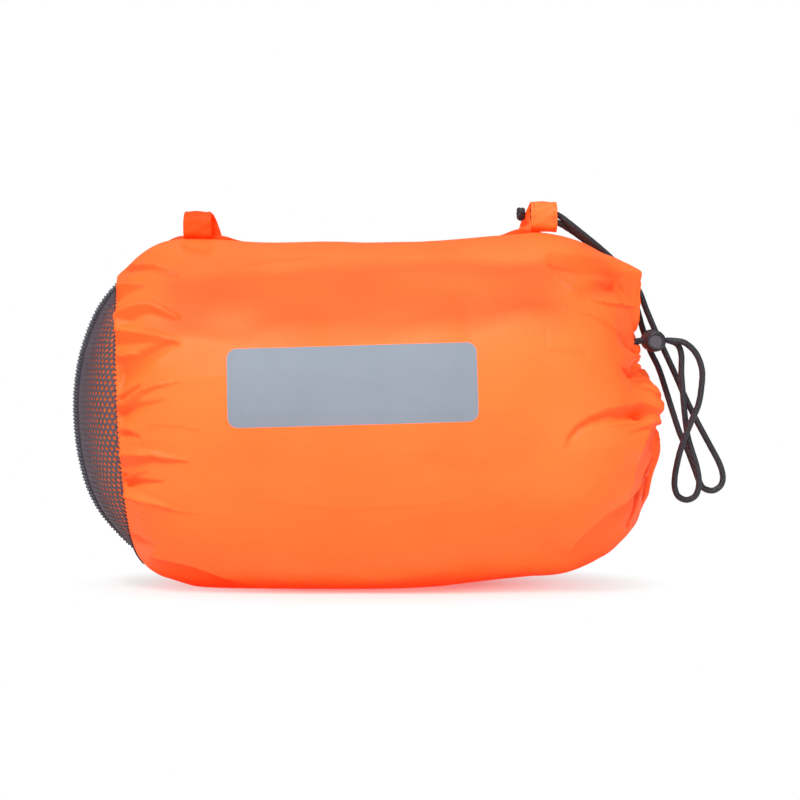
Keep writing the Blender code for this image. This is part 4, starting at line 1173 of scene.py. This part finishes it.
def spun(name, profile):
    # profile of (radius, distance from the lock's face), spun round the lock's axis
    bm = bmesh.new()
    verts = [bm.verts.new((r * mm, a * mm, 0)) for r, a in profile]
    edges = [bm.edges.new(pair) for pair in zip(verts, verts[1:])]
    bmesh.ops.spin(bm, geom=[*verts, *edges], cent=(0, 0, 0), axis=(0, 1, 0), angle=2 * math.pi, steps=72,
                   use_merge=True)
    bmesh.ops.remove_doubles(bm, verts=bm.verts, dist=0.001 * mm)
    bmesh.ops.recalc_face_normals(bm, faces=bm.faces)
    bmesh.ops.translate(bm, verts=bm.verts, vec=Vector((lockSet["x"], lockSet["face"], lockSet["z"])) * mm)
    return asMesh(name, bm)


def rounded(points, radius, steps=4):
    # a profile whose inner corners are rounded
    made = [Vector(points[0])]
    for before, corner, after in zip(points, points[1:], points[2:]):
        before, corner, after = Vector(before), Vector(corner), Vector(after)
        r = min(radius, (corner - before).length * 0.45, (after - corner).length * 0.45)
        start = corner + (before - corner).normalized() * r
        end = corner + (after - corner).normalized() * r
        for k in range(steps + 1):
            t = k / steps
            made.append(start.lerp(corner, t).lerp(corner.lerp(end, t), t))
    made.append(Vector(points[-1]))
    return made


def slotted(name, mesh, start, end):
    # cuts the cord's slot through the mesh, along X
    bm = bmesh.new()
    bmesh.ops.create_cube(bm, size=1.0)
    size = Vector((lockSet["radius"] * 3, end - start, lockSet["slotHigh"])) * mm
    bmesh.ops.scale(bm, vec=size, verts=bm.verts)
    edges = [e for e in bm.edges if abs(e.verts[0].co.x - e.verts[1].co.x) > size.x / 2]
    bmesh.ops.bevel(bm, geom=edges, offset=lockSet["slotRound"] * mm, segments=8, profile=0.5, affect="EDGES",
                    material=-1)
    middle = Vector((lockSet["x"], lockSet["face"] + (start + end) / 2, lockSet["z"])) * mm
    bmesh.ops.translate(bm, verts=bm.verts, vec=middle)
    cutter, whole = linked("slotCutter", asMesh("slotCutter", bm)), linked("uncut", mesh)
    cut = whole.modifiers.new("cut", "BOOLEAN")
    cut.operation = "DIFFERENCE"
    cut.object = cutter
    graph = bpy.context.evaluated_depsgraph_get()
    made = bpy.data.meshes.new_from_object(whole.evaluated_get(graph))
    for obj in (cutter, whole):
        bpy.data.objects.remove(obj, do_unlink=True)
    made.name = name
    return made


def makeLock():
    radius, bore = lockSet["radius"], lockSet["bore"]
    button, disc, stem = lockSet["button"], lockSet["disc"], lockSet["stem"]
    head, end = lockSet["head"], lockSet["stemEnd"]
    first = head + lockSet["gap"]
    last = first + lockSet["length"]
    floor = last - lockSet["floor"]
    middle = lockSet["strandMiddle"] - lockSet["face"]
    slotStart, slotEnd = middle - lockSet["slotLong"] / 2, middle + lockSet["slotLong"] / 2
    profile = [(0, floor), (bore, floor), (bore, first), (radius - 0.1, first), (radius, first + 0.5),
               (radius, first + 2.0), (radius - 0.2, first + 2.6), (radius - 0.2, last - 3.0),
               (radius, last - 2.4), (radius, last - 1.0), (radius - 0.95, last), (0, last)]
    barrel = slotted("lockBarrel", spun("lockBarrel", rounded(profile, 0.35)), slotStart, slotEnd)
    obj = piece("lockBarrel", barrel, lockPlastic, "cord_lock")
    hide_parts("cord_lock_barrel")
    profile = [(0, 0.35), (disc, 0.35), (disc + 0.25, 0), (button - 0.8, 0), (button, 1.0), (button, head),
               (stem, head), (stem, end), (1.2, end), (0.9, end + 0.9), (0, end + 0.9)]
    # its slot is longer, so that the cord stays clear of it while it is pressed
    plunger = spun("lockButton", rounded(profile, 0.3))
    plunger = slotted("lockButton", plunger, slotStart - lockSet["press"], slotEnd)
    obj = piece("lockButton", plunger, lockPlastic, "lock_button")
    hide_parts("cord_lock_button")
    # the sunk disc in its face has a sparked surface
    plunger.materials.append(discPlastic)
    for face in plunger.polygons:
        x, y, z = face.center / mm
        if math.hypot(x - lockSet["x"], z - lockSet["z"]) < disc and y < lockSet["face"] + 1:
            face.material_index = 1
    for mesh in (barrel, plunger):
        mesh.set_sharp_from_angle(angle=math.radians(lockSet["sharp"]))


springSet = {"start": 13.8, "end": 18.5, "coils": 5, "radius": 2.0, "wire": 0.25}


def makeSpring():
    # its front end sits at the button's stem, and its back end at the barrel's floor
    coils, wire, radius = springSet["coils"], springSet["wire"], springSet["radius"]
    share = np.linspace(0, 1, coils * 24 + 1)
    angle = 2 * math.pi * coils * share
    first, last = lockSet["face"] + springSet["start"], lockSet["face"] + springSet["end"]
    route = rows(lockSet["x"] + radius * np.cos(angle), first + (last - first) * share,
                 lockSet["z"] + radius * np.sin(angle))
    bm = roundTube(route, 10, lambda row, angle: np.full_like(angle, wire))
    obj = piece("lockSpring", bm, springWire, None)
    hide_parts("cord_lock_spring")
    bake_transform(obj)


makeLock()
makeSpring()
print("cord lock ready")


# Floor, backdrop and soft light

stageSet = {
    "white": (0.93, 0.93, 0.93, 1), "glow": 0.2, "size": 6.0, "drop": 0.0002, "world": 0.2,
    # the oval round the bag in which its shadow shows, and where in it the shadow starts to fade
    "oval": (108.0, 68.0), "fade": (0.35, 1.0),
    "aim": (0, 0, 0.06),
}
# each with its place, its size and its power
lightSet = {
    "keySoftbox": ((-0.3, -0.85, 1.1), (0.45, 0.35), 15.5),
    "topSoftbox": ((0.1, 0.22, 1.2), (0.9, 0.6), 2.6),
    "frontSoftbox": ((0.05, -1.4, 0.16), (1.2, 0.5), 3.6),
    "sideSoftbox": ((0.95, -0.8, 0.4), (0.5, 0.5), 2.8),
}


def makeStage():
    finish = Finish("whiteFloor")
    finish.set(Base_Color=stageSet["white"], Roughness=0.75, Emission_Color=(1, 1, 1, 1))
    # pure white to the camera away from the bag, with the bag's shadow kept near it
    _, (x, y, _) = finish.place()
    x, y = x / stageSet["oval"][0], y / stageSet["oval"][1]
    away = (x * x + y * y).calc("SQRT").ramp(*stageSet["fade"])
    lift = away * (1.0 - stageSet["glow"]) + stageSet["glow"]
    finish.toCamera("ShaderNodeEmission", finish.add("ShaderNodeLightPath") * lift, "Material Output")
    bm = bmesh.new()
    bmesh.ops.create_grid(bm, x_segments=1, y_segments=1, size=stageSet["size"] / 2)
    bmesh.ops.translate(bm, verts=bm.verts, vec=(0, 0, -stageSet["drop"]))
    floor = linked("floor", asMesh("floor", bm))
    floor.data.materials.append(finish.made)


def makeLight(name, spot, size, power):
    data = bpy.data.lights.new(name, "AREA")
    data.shape = "RECTANGLE"
    data.size, data.size_y = size
    data.energy = power
    light = linked(name, data)
    light.location = spot
    light.rotation_euler = (Vector(stageSet["aim"]) - light.location).to_track_quat("-Z", "Y").to_euler()


def makeWorld():
    finish = Finish("studio", bpy.data.worlds, "Background")
    scene.world = finish.set(Color=(1, 1, 1, 1), Strength=stageSet["world"])
    finish.toCamera("ShaderNodeBackground", finish.add("ShaderNodeLightPath"), "World Output")


makeStage()
makeWorld()
for name, light in lightSet.items():
    makeLight(name, *light)
scene.view_settings.view_transform = "Standard"
print("stage and lights ready")
